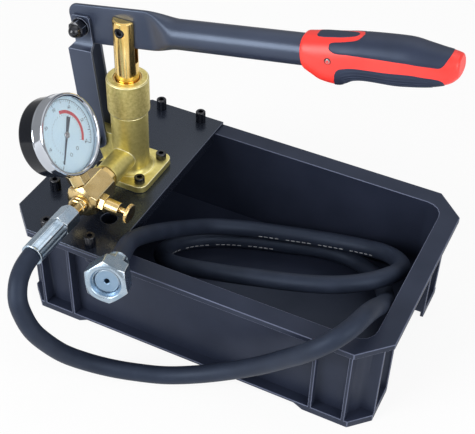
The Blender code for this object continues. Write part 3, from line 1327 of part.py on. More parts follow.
def make_grip_screw(finishes, axis, shell):
    """The screw in the grip's front side."""
    reach, middle, half, wide = grip_measure(GRIP_SCREW_SHARE)
    place = (reach, 0, middle + half / 5)
    low = LEVER_TUBE_RADIUS + 2 * GAP
    hole = rod(GRIP_SCREW_RADIUS + GAP, low, wide + OVERRUN, SMALL_STEPS)
    cut(shell, "screw_hole", along(hole, (0, -1, 0), place))
    shape = along(rod(GRIP_SCREW_RADIUS, low + GAP, wide - 2 * GAP, SMALL_STEPS), (0, -1, 0))
    piece("grip_screw", shape, finishes["screw_black"], place, parent=axis)


# Hose and fittings
def fluted(radius, flute, count, low, high, bore):
    """A crimped sleeve: a ring whose outside is pressed in along lines."""
    steps = 2 * count
    outline = []
    inside = []
    for step in range(steps):
        angle = FULL_TURN * step / steps
        out = radius - flute * (step % 2)
        outline.append((out * math.cos(angle), out * math.sin(angle)))
        inside.append((bore * math.cos(angle), bore * math.sin(angle)))
    return frame_ring(outline, inside, low, high)


def make_hose_inlet(finishes):
    """The zinc nut on the adapter and the ferrule on the hose's pump end."""
    origin = (PUMP_X, 0, OUTLET_Z)
    low = -MANIFOLD_FRONT + ADAPTER_LENGTH + GAP
    high = low + INLET_NUT_LENGTH
    shape = nut(INLET_NUT_FLATS, low, high, ADAPTER_NOSE_RADIUS + GAP)
    piece("hose_inlet_nut", along(shape, (0, -1, 0)), finishes["zinc"], origin)
    low = high + GAP
    high = low + INLET_FERRULE_LENGTH
    shape = fluted(FERRULE_RADIUS, FERRULE_FLUTE, FERRULE_FLUTES, low, high, FERRULE_BORE)
    piece("hose_inlet_ferrule", along(shape, (0, -1, 0)), finishes["zinc"], origin)
    return high


def make_hose(finishes, inlet_end):
    """The hose as one tube on a smooth curve through its route."""
    points = [MM * Vector(spot) for spot in HOSE_ROUTE]
    points[0] = Vector((PUMP_X, -inlet_end - GAP, OUTLET_Z))
    path = smooth_path(points)
    curve = bpy.data.curves.new("hose", "CURVE")
    curve.dimensions = "3D"
    curve.bevel_depth = HOSE_RADIUS
    curve.bevel_resolution = 2
    curve.use_fill_caps = True
    spline = curve.splines.new("POLY")
    spline.points.add(len(path) - 1)
    for target, point in zip(spline.points, path):
        target.co = (*point, 1.0)
    curve.materials.append(finishes["hose_rubber"])
    hose = bpy.data.objects.new("hose", curve)
    bpy.context.scene.collection.objects.link(hose)
    return path[-1]


def smooth_path(points):
    """Evenly spaced points on a smooth curve through the route, square to both fittings."""
    before = points[0] + HOSE_RADIUS * Vector((0, 1, 0))
    after = points[-1] + HOSE_RADIUS * END_FITTING_AXIS.normalized()
    guides = [before] + points + [after]
    fine = []
    for index in range(1, len(guides) - 2):
        fine += [curve_point(guides[index - 1 : index + 3], step / 12) for step in range(12)]
    fine.append(points[-1])
    length = sum((b - a).length for a, b in zip(fine, fine[1:]))
    count = round(length / HOSE_SPACING)
    spaced = [fine[0]]
    travelled = 0.0
    for first, second in zip(fine, fine[1:]):
        travelled += (second - first).length
        if travelled >= length * len(spaced) / count and len(spaced) < count:
            spaced.append(second)
    square = 2 * HOSE_RADIUS / 3
    first_square = points[0] - square * Vector((0, 1, 0))
    last_square = points[-1] - square * END_FITTING_AXIS.normalized()
    return [spaced[0], first_square] + spaced[1:] + [last_square, points[-1]]


def curve_point(guides, part):
    """A point between the middle two of four guide points, on a cubic curve."""
    first, second, third, fourth = guides
    linear = (third - first) / 2
    square = first - 5 * second / 2 + 2 * third - fourth / 2
    cube = (fourth - first) / 2 + 3 * (second - third) / 2
    return second + linear * part + square * part**2 + cube * part**3


def make_hose_end(finishes, start):
    """Ferrule, nipple and swivel nut along the far end's slanted axis."""
    direction = END_FITTING_AXIS.normalized()
    side = Vector((0, 0, 1)).cross(direction).normalized()
    turn = Matrix((side, direction.cross(side), direction)).transposed().to_euler()
    axis = empty("hose_end_axis", start, turn)
    low = GAP
    high = low + END_FERRULE_LENGTH
    shape = fluted(FERRULE_RADIUS, FERRULE_FLUTE, FERRULE_FLUTES, low, high, FERRULE_BORE)
    piece("hose_end_ferrule", shape, finishes["zinc"], parent=axis)
    neck = high + GAP
    head = neck + NIPPLE_NECK
    tip = head + NIPPLE_HEAD
    profile = [
        (NIPPLE_NECK_RADIUS, neck), (NIPPLE_NECK_RADIUS, head), (NIPPLE_HEAD_RADIUS, head),
        (NIPPLE_HEAD_RADIUS, tip), (NIPPLE_BORE, tip), (NIPPLE_BORE, neck),
    ]
    piece("hose_end_nipple", turned(profile, closed=True), finishes["zinc"], parent=axis)
    back = neck + GAP
    inner = back + SWIVEL_BACK
    front = back + SWIVEL_LENGTH
    shape = nut(SWIVEL_FLATS, back, front, NIPPLE_NECK_RADIUS + GAP, SWIVEL_CHAMFER, SWIVEL_TURN)
    swivel = piece("swivel_nut", shape, finishes["zinc"], parent=axis)
    cut(swivel, "socket", rod(NIPPLE_HEAD_RADIUS + GAP, inner, front + OVERRUN))


def main():
    """Build every sub-part."""
    clear_scene()
    finishes = make_finishes()
    make_tank(finishes)
    make_plate(finishes)
    make_screws(finishes)
    make_pump_body(finishes)
    make_gland(finishes)
    make_plunger(finishes)
    make_suction(finishes)
    make_manifold(finishes)
    make_release_valve(finishes)
    make_gauge(finishes)
    make_links(finishes)
    make_lever(finishes)
    inlet_end = make_hose_inlet(finishes)
    hose_end = make_hose(finishes, inlet_end)
    make_hose_end(finishes, hose_end)


main()
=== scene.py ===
"""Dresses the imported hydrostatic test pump: finer shapes, finishes, light and camera.

Metres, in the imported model's frame: +Z is up, the lever points to +X, and the gauge, the outlet
and the hose are on the -Y side.
"""

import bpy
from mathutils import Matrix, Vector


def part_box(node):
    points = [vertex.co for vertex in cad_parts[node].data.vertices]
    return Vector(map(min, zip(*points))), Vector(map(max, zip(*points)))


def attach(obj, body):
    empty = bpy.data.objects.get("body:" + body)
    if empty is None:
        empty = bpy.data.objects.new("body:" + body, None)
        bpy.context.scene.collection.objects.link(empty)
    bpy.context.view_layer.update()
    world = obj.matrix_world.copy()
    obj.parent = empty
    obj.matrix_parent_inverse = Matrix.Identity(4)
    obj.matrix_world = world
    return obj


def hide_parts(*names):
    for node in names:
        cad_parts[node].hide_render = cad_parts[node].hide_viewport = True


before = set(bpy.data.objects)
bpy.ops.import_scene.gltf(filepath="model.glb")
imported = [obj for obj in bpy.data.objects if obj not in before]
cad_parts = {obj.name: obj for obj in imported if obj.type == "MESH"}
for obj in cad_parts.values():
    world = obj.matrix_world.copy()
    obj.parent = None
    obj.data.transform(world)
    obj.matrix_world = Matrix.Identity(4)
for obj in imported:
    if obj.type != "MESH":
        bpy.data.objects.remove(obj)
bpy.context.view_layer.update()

import logging
import math
from collections.abc import Callable, Sequence
from dataclasses import dataclass, field
from enum import Enum
from functools import partial

import bmesh
import bpy
from bmesh.types import BMEdge, BMesh
from bpy.types import ID, Material, Mesh, Node, NodeSocket, NodeTree, Object
from mathutils import Matrix, Vector

LOG = logging.getLogger("pump")
MM = 0.001
DEG = math.pi / 180
FULL_TURN = 2 * math.pi
# Places that several sub-assemblies share: the pump's axis, the outlet's height and the lever's pivot.
PUMP_X = -109.0 * MM
PUMP_Y = 4.0 * MM
OUTLET_Z = 120.6 * MM
FULCRUM = (-147.552 * MM, PUMP_Y, 236.346 * MM)
Colour = tuple[float, float, float]
Point = tuple[float, float, float]
Outline = list[tuple[float, float]]


class Body(Enum):
    """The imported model's bodies."""

    FRAME = "frame"
    LINK = "link"
    LEVER = "lever"
    PLUNGER = "plunger"
    SPINDLE = "valve_spindle"
    KNOB = "valve_knob"
    NEEDLE = "needle"
    SWIVEL = "swivel"


def srgb(red: int, green: int, blue: int) -> Colour:
    """Turn a colour chart's eight-bit values into linear ones.

    Args:
        red: Red from 0 to 255.
        green: Green from 0 to 255.
        blue: Blue from 0 to 255.

    Returns:
        The linear colour.
    """

    def linear(value: int) -> float:
        """One channel."""
        share = value / 255
        return share / 12.92 if share <= 0.04045 else ((share + 0.055) / 1.055) ** 2.4

    return linear(red), linear(green), linear(blue)


# Node trees


def operator(operation: str, reflected: bool = False) -> Callable[["Term", "Term | float"], "Term"]:
    """Make an operator of terms, which adds one Math node.

    Args:
        operation: The node's operation.
        reflected: Whether the term is the second value.

    Returns:
        The operator.
    """

    def work(term: "Term", other: "Term | float") -> "Term":
        """The sum, product or test."""
        first, second = (other, term) if reflected else (term, other)
        return term.math(operation, first, second)

    return work


class Term:
    """A number socket that stands in Python sums."""

    def __init__(self, tree: NodeTree, socket: NodeSocket) -> None:
        """Wrap one output socket of a tree."""
        self.tree = tree
        self.socket = socket

    def math(self, operation: str, first: "Term | float", second: "Term | float") -> "Term":
        """Add a Math node.

        Args:
            operation: The node's operation.
            first: Its first value.
            second: Its second value.

        Returns:
            The result.
        """
        node = self.tree.nodes.new("ShaderNodeMath")
        node.operation = operation
        feed(self.tree, node.inputs[0], first)
        feed(self.tree, node.inputs[1], second)
        return Term(self.tree, node.outputs[0])

    __add__, __radd__ = operator("ADD"), operator("ADD", True)
    __sub__, __rsub__ = operator("SUBTRACT"), operator("SUBTRACT", True)
    __mul__, __rmul__ = operator("MULTIPLY"), operator("MULTIPLY", True)
    __truediv__, __mod__ = operator("DIVIDE"), operator("FLOORED_MODULO")
    __gt__, __lt__ = operator("GREATER_THAN"), operator("LESS_THAN")


def feed(tree: NodeTree, socket: NodeSocket, value: object) -> None:
    """Give a socket its value, or link it to what makes the value.

    Args:
        tree: The tree that the socket is in.
        socket: An input socket.
        value: A term, an output socket, several of either, or a plain value.
    """
    if isinstance(value, Term):
        tree.links.new(value.socket, socket)
    elif isinstance(value, NodeSocket):
        tree.links.new(value, socket)
    elif isinstance(value, list):
        for one in value:
            feed(tree, socket, one)
    elif socket.type == "RGBA":
        socket.default_value = (*value, 1.0)
    else:
        socket.default_value = value


def socket_of(sockets: Sequence[NodeSocket], key: str) -> NodeSocket:
    """Find a socket by its identifier, or else by its name."""
    named = [socket for socket in sockets if socket.identifier == key]
    return (named or [socket for socket in sockets if socket.name == key])[0]


def add_node(
    tree: NodeTree, kind: str, settings: dict | None = None, inputs: dict | None = None
) -> Node:
    """Add any node, settings first and then the inputs.

    Args:
        tree: The tree that gets the node.
        kind: The node's type.
        settings: Its properties, and "stops" for the stops of a ramp.
        inputs: Values or links by socket name or identifier.

    Returns:
        The node.
    """
    node = tree.nodes.new(kind)
    for name, value in (settings or {}).items():
        if name == "stops":
            low, high = value
            node.color_ramp.elements[0].position = low
            node.color_ramp.elements[1].position = high
        else:
            setattr(node, name, value)
    for key, value in (inputs or {}).items():
        feed(tree, socket_of(node.inputs, key), value)
    return node


class Bench:
    """A node tree that is being built."""

    tree: NodeTree

    def add(self, kind: str, settings: dict | None = None, inputs: dict | None = None) -> Node:
        """Add any node to this tree."""
        return add_node(self.tree, kind, settings, inputs)


class Shader(Bench):
    """One material's node tree."""

    def __init__(self, name: str) -> None:
        """Start an empty material.

        Args:
            name: Its name.
        """
        self.material = bpy.data.materials.new(name)
        self.material.use_nodes = True
        self.tree = self.material.node_tree
        self.tree.nodes.clear()

    def place(self, scale: Point = (1.0, 1.0, 1.0), turn: Point = (0.0, 0.0, 0.0)) -> NodeSocket:
        """Object coordinates, turned and stretched.

        Args:
            scale: How much each axis is stretched.
            turn: Euler angles in radians.

        Returns:
            The coordinates' socket.
        """
        source = self.add("ShaderNodeTexCoord").outputs["Object"]
        inputs = {"Vector": source, "Rotation": turn, "Scale": scale}
        return self.add("ShaderNodeMapping", inputs=inputs).outputs[0]

    def noise(self, place: NodeSocket, scale: float, detail: float = 2.0) -> Term:
        """Noise around one half, with so many features per metre and octaves."""
        inputs = {"Vector": place, "Scale": scale, "Detail": detail}
        return Term(self.tree, self.add("ShaderNodeTexNoise", inputs=inputs).outputs["Fac"])

    def attribute(self, name: str) -> Term:
        """A number kept on the mesh."""
        node = self.add("ShaderNodeAttribute", {"attribute_name": name})
        return Term(self.tree, node.outputs["Fac"])

    def ramp(self, value: Term, low: float, high: float) -> Term:
        """Black below one value and white above the other."""
        settings = {"stops": (low, high)}
        return Term(self.tree, self.add("ShaderNodeValToRGB", settings, {"Fac": value}).outputs[0])

    def mix(self, share: Term | float, first: object, second: object) -> NodeSocket:
        """Mix two colours.

        Args:
            share: How much of the second.
            first: A colour or its socket.
            second: A colour or its socket.

        Returns:
            The mixed colour.
        """
        inputs = {"Factor_Float": share, "A_Color": first, "B_Color": second}
        node = self.add("ShaderNodeMix", {"data_type": "RGBA"}, inputs)
        return socket_of(node.outputs, "Result_Color")

    def bump(self, height: Term, depth: float) -> NodeSocket:
        """A normal from a height of 0 to 1 and its depth in metres."""
        node = self.add("ShaderNodeBump", inputs={"Height": height, "Distance": depth, "Strength": 1.0})
        return node.outputs[0]

    def close(self, inputs: dict[str, object]) -> Material:
        """Finish with a Principled shader.

        Args:
            inputs: Its sockets' values and links.

        Returns:
            The material.
        """
        surface = self.add("ShaderNodeBsdfPrincipled", inputs=inputs)
        self.add("ShaderNodeOutputMaterial", inputs={"Surface": surface.outputs[0]})
        return self.material


# Finishes

COOL = (0.62, 0.76, 1.0)


@dataclass(frozen=True)
class Finish:
    """Two tones that mottle, a grain in gloss and relief, and lighter edges that are partly rubbed wear and
    partly a painted highlight.
    """

    name: str
    slot: str
    tone: Colour
    second: Colour
    # The colour of the marked edges: rubbed wear together with a painted highlight.
    rub_and_highlight: Colour
    roughness: float
    metallic: float = 0.0
    mottle: float = 45.0
    grain: float = 900.0
    lay: Point = (1.0, 1.0, 1.0)
    relief: float = 0.02 * MM
    spread: float = 0.15
    # How strongly the marked edges are painted lighter, as wear and as a painted highlight.
    edge_lightening: float = 0.6
    coat: float = 0.0
    specular: float = 0.5
    tint: Colour = (1.0, 1.0, 1.0)
    patch_stops: tuple[float, float] = (0.35, 0.68)
    # The least and the patchy share of that edge lightening, which is wear and painted highlight.
    least_edge_lightening: float = 0.55
    patchy_edge_lightening: float = 0.9
    coat_roughness: float = 0.2

    def material(self) -> Material:
        """Build the node tree.

        Returns:
            The material.
        """
        shader = Shader(self.name)
        cloud = shader.noise(shader.place(), self.mottle, 4.0)
        grain = shader.noise(shader.place(self.lay), self.grain, 3.0)
        patches = shader.ramp(cloud, *self.patch_stops)
        # The marked edges are painted lighter: partly rubbed wear, partly a painted highlight where light
        # catches them.
        rub_and_highlight = shader.attribute("edge") * self.edge_lightening * (self.least_edge_lightening + self.patchy_edge_lightening * cloud)
        tone = shader.mix(patches, self.tone, self.second)
        inputs = {
            "Base Color": shader.mix(rub_and_highlight, tone, self.rub_and_highlight),
            "Roughness": self.roughness + (grain - 0.5) * self.spread + (cloud - 0.5) * self.spread,
            "Metallic": self.metallic,
            "Specular IOR Level": self.specular,
            "Specular Tint": self.tint,
            "Coat Weight": self.coat,
            "Coat Roughness": self.coat_roughness,
            "Normal": shader.bump(grain, self.relief),
        }
        return shader.close(inputs)


@dataclass(frozen=True)
class RubberFinish:
    """Hose rubber with the fine wrap marks of its making, along its own UV map."""

    name: str
    slot: str
    tone: Colour
    dust: Colour
    roughness: float
    wrap: float = 0.06 * MM

    def material(self) -> Material:
        """Build the node tree.

        Returns:
            The material.
        """
        shader = Shader(self.name)
        strip = shader.add("ShaderNodeUVMap", {"uv_map": "run"}).outputs[0]
        settings = {"wave_type": "BANDS", "bands_direction": "DIAGONAL"}
        inputs = {"Vector": strip, "Scale": 1.6, "Distortion": 2.0, "Detail": 2.0, "Detail Scale": 3.0}
        wave = Term(shader.tree, shader.add("ShaderNodeTexWave", settings, inputs).outputs["Fac"])
        cloud = shader.noise(shader.place(), 60.0, 4.0)
        grain = shader.noise(shader.place(), 1400.0, 2.0)
        dusty = shader.ramp(cloud, 0.42, 0.75) * 0.5
        inputs = {
            "Base Color": shader.mix(dusty, self.tone, self.dust),
            "Roughness": self.roughness + (cloud - 0.5) * 0.2 + (grain - 0.5) * 0.1,
            "Specular IOR Level": 0.35,
            "Specular Tint": COOL,
            "Normal": shader.bump(wave * 0.35 + grain * 0.5 + cloud * 0.6, self.wrap),
        }
        return shader.close(inputs)


@dataclass(frozen=True)
class GlassFinish:
    """Thin clear glass that shows as a faint cool veil with sharp gloss."""

    name: str
    slot: str
    tone: Colour
    veil: float

    def material(self) -> Material:
        """Build the node tree.

        Returns:
            The material.
        """
        shader = Shader(self.name)
        cloud = shader.noise(shader.place(), 25.0, 2.0)
        inputs = {
            "Base Color": shader.mix(cloud, self.tone, (1.0, 1.0, 1.0)),
            "Roughness": 0.03 + cloud * 0.03,
            "Alpha": self.veil + (cloud - 0.5) * 0.04,
            "Specular IOR Level": 0.7,
        }
        return shader.close(inputs)


AnyFinish = Finish | RubberFinish | GlassFinish

TANK_PLASTIC = Finish(
    "tank_plastic", "black_plastic", srgb(39, 44, 60), srgb(33, 38, 53), srgb(104, 110, 132),
    0.46, mottle=30.0, grain=1300.0, relief=0.012 * MM, spread=0.12, edge_lightening=0.8, specular=0.3, tint=COOL,
)
PLATE_STEEL = Finish(
    "plate_steel", "black_steel", srgb(27, 31, 42), srgb(22, 26, 36), srgb(98, 104, 122),
    0.27, mottle=22.0, grain=1100.0, relief=0.008 * MM, spread=0.10, specular=0.55, tint=COOL,
)
LEVER_STEEL = Finish(
    "lever_steel", "black_steel", srgb(50, 56, 73), srgb(44, 50, 66), srgb(112, 120, 140),
    0.33, mottle=26.0, grain=1200.0, relief=0.010 * MM, spread=0.10, specular=0.7, tint=COOL,
)
SCREW_STEEL = Finish(
    "screw_steel", "screw_black", srgb(20, 24, 36), srgb(12, 15, 24), srgb(136, 146, 168),
    0.22, 0.4, mottle=300.0, grain=2500.0, relief=0.006 * MM, edge_lightening=0.7, specular=0.9,
)
CASE_BLACK = Finish(
    "case_black_gloss", "black_steel", srgb(14, 18, 27), srgb(10, 13, 20), srgb(110, 118, 134),
    0.12, mottle=20.0, grain=1500.0, relief=0.002 * MM, spread=0.05, coat=0.05, specular=0.28,
)
CAST_BRASS = Finish(
    "cast_brass_skin", "cast_brass", srgb(228, 214, 146), srgb(200, 186, 112), srgb(252, 246, 204),
    0.50, 0.85, mottle=420.0, grain=1000.0, relief=0.10 * MM, spread=0.20, edge_lightening=0.9,
)
BODY_BRASS = Finish(
    "cast_body_skin", "cast_brass", srgb(228, 215, 140), srgb(212, 199, 122), srgb(252, 246, 204),
    0.46, 0.88, mottle=300.0, grain=1400.0, relief=0.04 * MM, spread=0.16, edge_lightening=0.9,
)
MACHINED_BRASS = Finish(
    "machined_brass", "bright_brass", srgb(222, 196, 142), srgb(204, 176, 118), srgb(252, 236, 192),
    0.22, 1.0, mottle=110.0, grain=1500.0, relief=0.010 * MM, spread=0.14, edge_lightening=0.9,
)
PLUNGER_BRASS = Finish(
    "plunger_brass", "bright_brass", srgb(250, 216, 142), srgb(236, 196, 112), srgb(255, 238, 180),
    0.19, 1.0, mottle=60.0, grain=900.0, lay=(1.0, 1.0, 0.03), relief=0.014 * MM, spread=0.12,
)
ZINC_PLATE = Finish(
    "zinc_plate", "zinc", srgb(182, 198, 212), srgb(158, 178, 196), srgb(240, 246, 250),
    0.30, 1.0, mottle=130.0, grain=1300.0, relief=0.014 * MM, spread=0.22, edge_lightening=0.9,
)
NIPPLE_ZINC = Finish(
    "nipple_zinc", "zinc", srgb(150, 176, 200), srgb(134, 160, 186), srgb(224, 234, 242),
    0.40, 1.0, mottle=90.0, grain=1300.0, relief=0.010 * MM, spread=0.16, edge_lightening=0.8,
)
CHROME = Finish(
    "gauge_chrome", "chrome", srgb(206, 211, 219), srgb(190, 196, 206), srgb(244, 247, 250),
    0.07, 1.0, mottle=30.0, grain=1800.0, relief=0.002 * MM, spread=0.05,
)
PLAIN_STEEL = Finish(
    "plain_steel", "steel", srgb(176, 176, 178), srgb(150, 150, 154), srgb(226, 226, 228),
    0.28, 1.0, mottle=150.0, grain=1600.0, relief=0.006 * MM,
)
GRIP_RED = Finish(
    "grip_red_plastic", "grip_red", srgb(255, 66, 58), srgb(249, 54, 48), srgb(255, 136, 124),
    0.38, mottle=35.0, grain=1400.0, relief=0.010 * MM, spread=0.10, edge_lightening=0.5,
)
PAD_RUBBER = Finish(
    "pad_rubber", "rubber_black", srgb(42, 48, 67), srgb(36, 42, 59), srgb(84, 92, 116),
    0.46, mottle=40.0, grain=1900.0, spread=0.14, edge_lightening=0.35, specular=0.45, tint=COOL,
)
SEAL_RUBBER = Finish(
    "seal_rubber", "rubber_black", srgb(30, 30, 33), srgb(24, 24, 27), srgb(52, 52, 56), 0.6,
)
SEAL_WHITE = Finish(
    "packing_white", "seal_white", srgb(222, 222, 214), srgb(208, 206, 196), srgb(236, 236, 230), 0.5,
)
DIAL_PAINT = Finish(
    "dial_paint", "dial_white", srgb(218, 244, 255), srgb(210, 239, 255), srgb(218, 244, 255),
    0.45, mottle=50.0, relief=0.004 * MM, edge_lightening=0.0,
)
DIAL_BLACK = Finish(
    "dial_black", "needle_black", srgb(44, 48, 60), srgb(36, 40, 52), srgb(80, 84, 94), 0.4,
)
DIAL_RED = Finish(
    "dial_red", "needle_black", srgb(206, 52, 56), srgb(198, 44, 50), srgb(206, 52, 56), 0.5,
)
LAY_INK = Finish(
    "lay_ink", "hose_rubber", srgb(214, 218, 224), srgb(150, 154, 162), srgb(214, 218, 224),
    0.6, mottle=900.0, edge_lightening=0.0,
)
HOSE_RUBBER = RubberFinish("hose_cover", "hose_rubber", srgb(33, 39, 53), srgb(47, 54, 70), 0.54)
DIAL_GLASS = GlassFinish("dial_glass", "glass", srgb(196, 216, 248), 0.07)


# Forms

NUT_FACE_SHARE = 0.96


def toward(place: Sequence[float], direction: Sequence[float]) -> Matrix:
    """The frame whose Z runs along a direction, as the CAD turns its round pieces."""
    turn = Vector((0, 0, 1)).rotation_difference(Vector(direction).normalized())
    return Matrix.Translation(place) @ turn.to_matrix().to_4x4()


def raised(place: Matrix, height: float) -> Matrix:
    """A frame that is moved along its own Z."""
    return place @ Matrix.Translation((0, 0, height))


def outline(points: Sequence[tuple[float, float]], base: float = 0.0) -> Outline:
    """Metres from (radius, height) points in millimetres over a base."""
    return [(radius * MM, base + height * MM) for radius, height in points]


def skin(rings: Sequence[Sequence[Sequence[float]]], closed: bool = False) -> BMesh:
    """Skin a row of rings of points.

    Args:
        rings: The rings. A ring of one point closes the form to a tip.
        closed: Whether the last ring joins the first one.

    Returns:
        The form, with its ends capped unless it is closed.
    """
    form = bmesh.new()
    count = max(len(ring) for ring in rings)
    made = []
    for ring in rings:
        points = [form.verts.new(point) for point in ring]
        made.append(points * count if len(points) == 1 else points)
    pairs = list(zip(made, made[1:])) + ([(made[-1], made[0])] if closed else [])
    for low, high in pairs:
        for index in range(count):
            after = (index + 1) % count
            corners = dict.fromkeys([low[index], low[after], high[after], high[index]])
            if len(corners) > 2:
                form.faces.new(list(corners))
    if not closed:
        for end in (made[0], made[-1]):
            if len(set(end)) > 2:
                form.faces.new(end)
    bmesh.ops.recalc_face_normals(form, faces=form.faces)
    return form


def turned(line: Callable[[float], Outline], steps: int, closed: bool) -> BMesh:
    """Turn an outline, which may change with the angle, round Z.

    Args:
        line: Gives the (radius, height) points at an angle.
        steps: Facets round.
        closed: Whether the outline is a loop, as of a ring.

    Returns:
        The form, with a tip where the radius is zero all round.
    """
    angles = [FULL_TURN * step / steps for step in range(steps)]
    rings = []
    for level in zip(*(line(angle) for angle in angles)):
        ring = [(r * math.cos(a), r * math.sin(a), z) for a, (r, z) in zip(angles, level)]
        rings.append(ring if any(r for r, _ in level) else [(0.0, 0.0, level[0][1])])
    return skin(rings, closed)


def revolve(
    profile: Outline,
    steps: int = 96,
    closed: bool = False,
    reach: Callable[[float, float, float], float] | None = None,
) -> BMesh:
    """Turn a profile round Z.

    Args:
        profile: (radius, height) points. A radius of zero is a tip.
        steps: Facets round.
        closed: Whether the profile is a loop, as of a ring.
        reach: Gives the radius at (angle, radius, height), where it isn't round.

    Returns:
        The form.
    """

    def line(angle: float) -> Outline:
        """The profile at an angle."""
        return [(reach(angle, r, z) if reach and r else r, z) for r, z in profile]

    return turned(line, steps, closed)


def hexagon_reach(angle: float, flats: float, start: float = 0.0) -> float:
    """How far a hexagon's side is from its centre at an angle."""
    sector = (angle - start + FULL_TURN / 12) % (FULL_TURN / 6)
    return flats / 2 / math.cos(sector - FULL_TURN / 12)


def socket_reach(flats: float, angle: float, radius: float, _: float) -> float:
    """The side of a hexagon socket where a head's outline is inside it, or else the round head."""
    return hexagon_reach(angle, flats) if radius < flats / 2 + 0.01 * MM else radius


@dataclass(frozen=True)
class ConeEnd:
    """The end of a hexagon bar, whose corners are turned down to a cone."""

    height: float
    radius: float
    slope: float = math.tan(30 * DEG)

    def face(self) -> tuple[float, float]:
        """Where the flat face meets the cone."""
        return self.radius, self.height

    def corner(self, reach: float, way: int) -> tuple[float, float]:
        """Where the cone meets the hexagon's side, upwards or downwards from the face."""
        return reach, self.height + way * (reach - self.radius) * self.slope


def hexagon_form(
    flats: float,
    low: ConeEnd,
    high: ConeEnd,
    before: Outline,
    after: Outline,
    start: float = 0.0,
    steps: int = 120,
    closed: bool = True,
) -> BMesh:
    """A hexagon bar with cone ends, and what is turned below and above it.

    Args:
        flats: Size across flats.
        low: Its lower end.
        high: Its upper end.
        before: (radius, height) points that lead to the lower end.
        after: The points that follow the upper end.
        start: Angle that a flat faces.
        steps: Facets round.
        closed: Whether the whole outline is a loop.

    Returns:
        The form.
    """

    def line(angle: float) -> Outline:
        """The outline at an angle."""
        out = hexagon_reach(angle, flats, start)
        return [*before, low.face(), low.corner(out, 1), high.corner(out, -1), high.face(), *after]

    return turned(line, steps, closed)


def nut_form(flats: float, low: float, high: float, bore: float) -> BMesh:
    """A hexagon nut with cone ends and a plain hole."""
    face = NUT_FACE_SHARE * flats / 2
    return hexagon_form(flats, ConeEnd(low, face), ConeEnd(high, face), [(bore, low)], [(bore, high)])


def round_and_mark_edges(form: BMesh, chosen: Callable[[BMEdge], bool], width: float) -> None:
    """Round the edges that a test chooses, and mark the new faces so that finishes paint them lighter, as
    rubbed wear and as a painted highlight.

    Args:
        form: The form, which is changed.
        chosen: The test.
        width: Width of the rounding.
    """
    mark = form.faces.layers.float.get("edge") or form.faces.layers.float.new("edge")
    made = bmesh.ops.bevel(
        form, geom=[edge for edge in form.edges if chosen(edge)], offset=width,
        offset_type="OFFSET", segments=2, profile=0.5, affect="EDGES", clamp_overlap=False,
    )
    for face in made["faces"]:
        face[mark] = 1.0


def round_edges(form: BMesh, width: float, angle: float = 32 * DEG) -> None:
    """Round the hard convex edges that are long enough.

    Args:
        form: The form, which is changed.
        width: Width of the rounding.
        angle: Edges sharper than this are rounded.
    """

    def hard(edge: BMEdge) -> bool:
        """Whether an edge is convex, sharp and long."""
        sharp = edge.is_manifold and edge.is_convex and edge.calc_face_angle(0.0) > angle
        return sharp and edge.calc_length() > 2.2 * width

    round_and_mark_edges(form, hard, width)


def cad_form(node: str) -> BMesh:
    """Copy a CAD node's mesh.

    Args:
        node: The node.

    Returns:
        The copy, merged and with its flat faces whole.
    """
    form = bmesh.new()
    form.from_mesh(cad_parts[node].data)
    bmesh.ops.remove_doubles(form, verts=form.verts, dist=2e-6)
    bmesh.ops.dissolve_limit(form, angle_limit=0.7 * DEG, verts=form.verts, edges=form.edges)
    bmesh.ops.dissolve_degenerate(form, dist=2e-5, edges=form.edges)
    return form


def moved(form: BMesh, place: Matrix) -> BMesh:
    """Move a form into a frame."""
    bmesh.ops.transform(form, matrix=place, verts=form.verts)
    return form


def as_mesh(form: BMesh, name: str) -> Mesh:
    """Turn a form into a mesh.

    Args:
        form: The form, which is used up.
        name: The mesh's name.

    Returns:
        The mesh.
    """
    mesh = bpy.data.meshes.new(name)
    form.to_mesh(mesh)
    form.free()
    return mesh


def as_form(mesh: Mesh) -> BMesh:
    """Turn a mesh into a form.

    Args:
        mesh: The mesh, which is used up.

    Returns:
        The form.
    """
    form = bmesh.new()
    form.from_mesh(mesh)
    bpy.data.meshes.remove(mesh)
    return form


def stand(name: str, data: ID) -> Object:
    """Put an object in the scene.

    Args:
        name: Its name.
        data: Its mesh, text, lamp or camera.

    Returns:
        The object.
    """
    thing = bpy.data.objects.new(name, data)
    bpy.context.scene.collection.objects.link(thing)
    return thing


def evaluated(thing: Object) -> Mesh:
    """The plain mesh that an object's text or modifiers make."""
    graph = bpy.context.evaluated_depsgraph_get()
    return bpy.data.meshes.new_from_object(
        thing.evaluated_get(graph), preserve_all_data_layers=True, depsgraph=graph
    )


def settle(piece: Object) -> None:
    """Turn the modifiers' result into the piece's plain mesh.

    Args:
        piece: The piece.
    """
    old, mesh = piece.data, evaluated(piece)
    piece.modifiers.clear()
    piece.data = mesh
    mesh.name = piece.name
    bpy.data.meshes.remove(old)


def joined(forms: Sequence[BMesh]) -> BMesh:
    """Put several forms into the first one.

    Args:
        forms: The forms.

    Returns:
        The first one. The others are used up.
    """
    for other in forms[1:]:
        mesh = as_mesh(other, "joined")
        forms[0].from_mesh(mesh)
        bpy.data.meshes.remove(mesh)
    return forms[0]


class Blend(Enum):
    """What is done with the forms that meet another one."""

    ADD = "UNION"
    CUT = "DIFFERENCE"


def combined(first: BMesh, others: Sequence[BMesh], blend: Blend) -> BMesh:
    """Add closed forms to the first one, or cut them out of it.

    Args:
        first: The form that is changed.
        others: The forms that are added or cut out.
        blend: Which of the two.

    Returns:
        One surface. The forms that went in are used up.
    """
    parts = [stand("part", as_mesh(form, "part")) for form in (first, *others)]
    for other in parts[1:]:
        modifier = parts[0].modifiers.new("combine", "BOOLEAN")
        modifier.operation = blend.value
        modifier.solver = "EXACT"
        modifier.object = other
    settle(parts[0])
    meshes = [part.data for part in parts]
    for part in parts:
        bpy.data.objects.remove(part)
    for mesh in meshes[1:]:
        bpy.data.meshes.remove(mesh)
    return as_form(meshes[0])


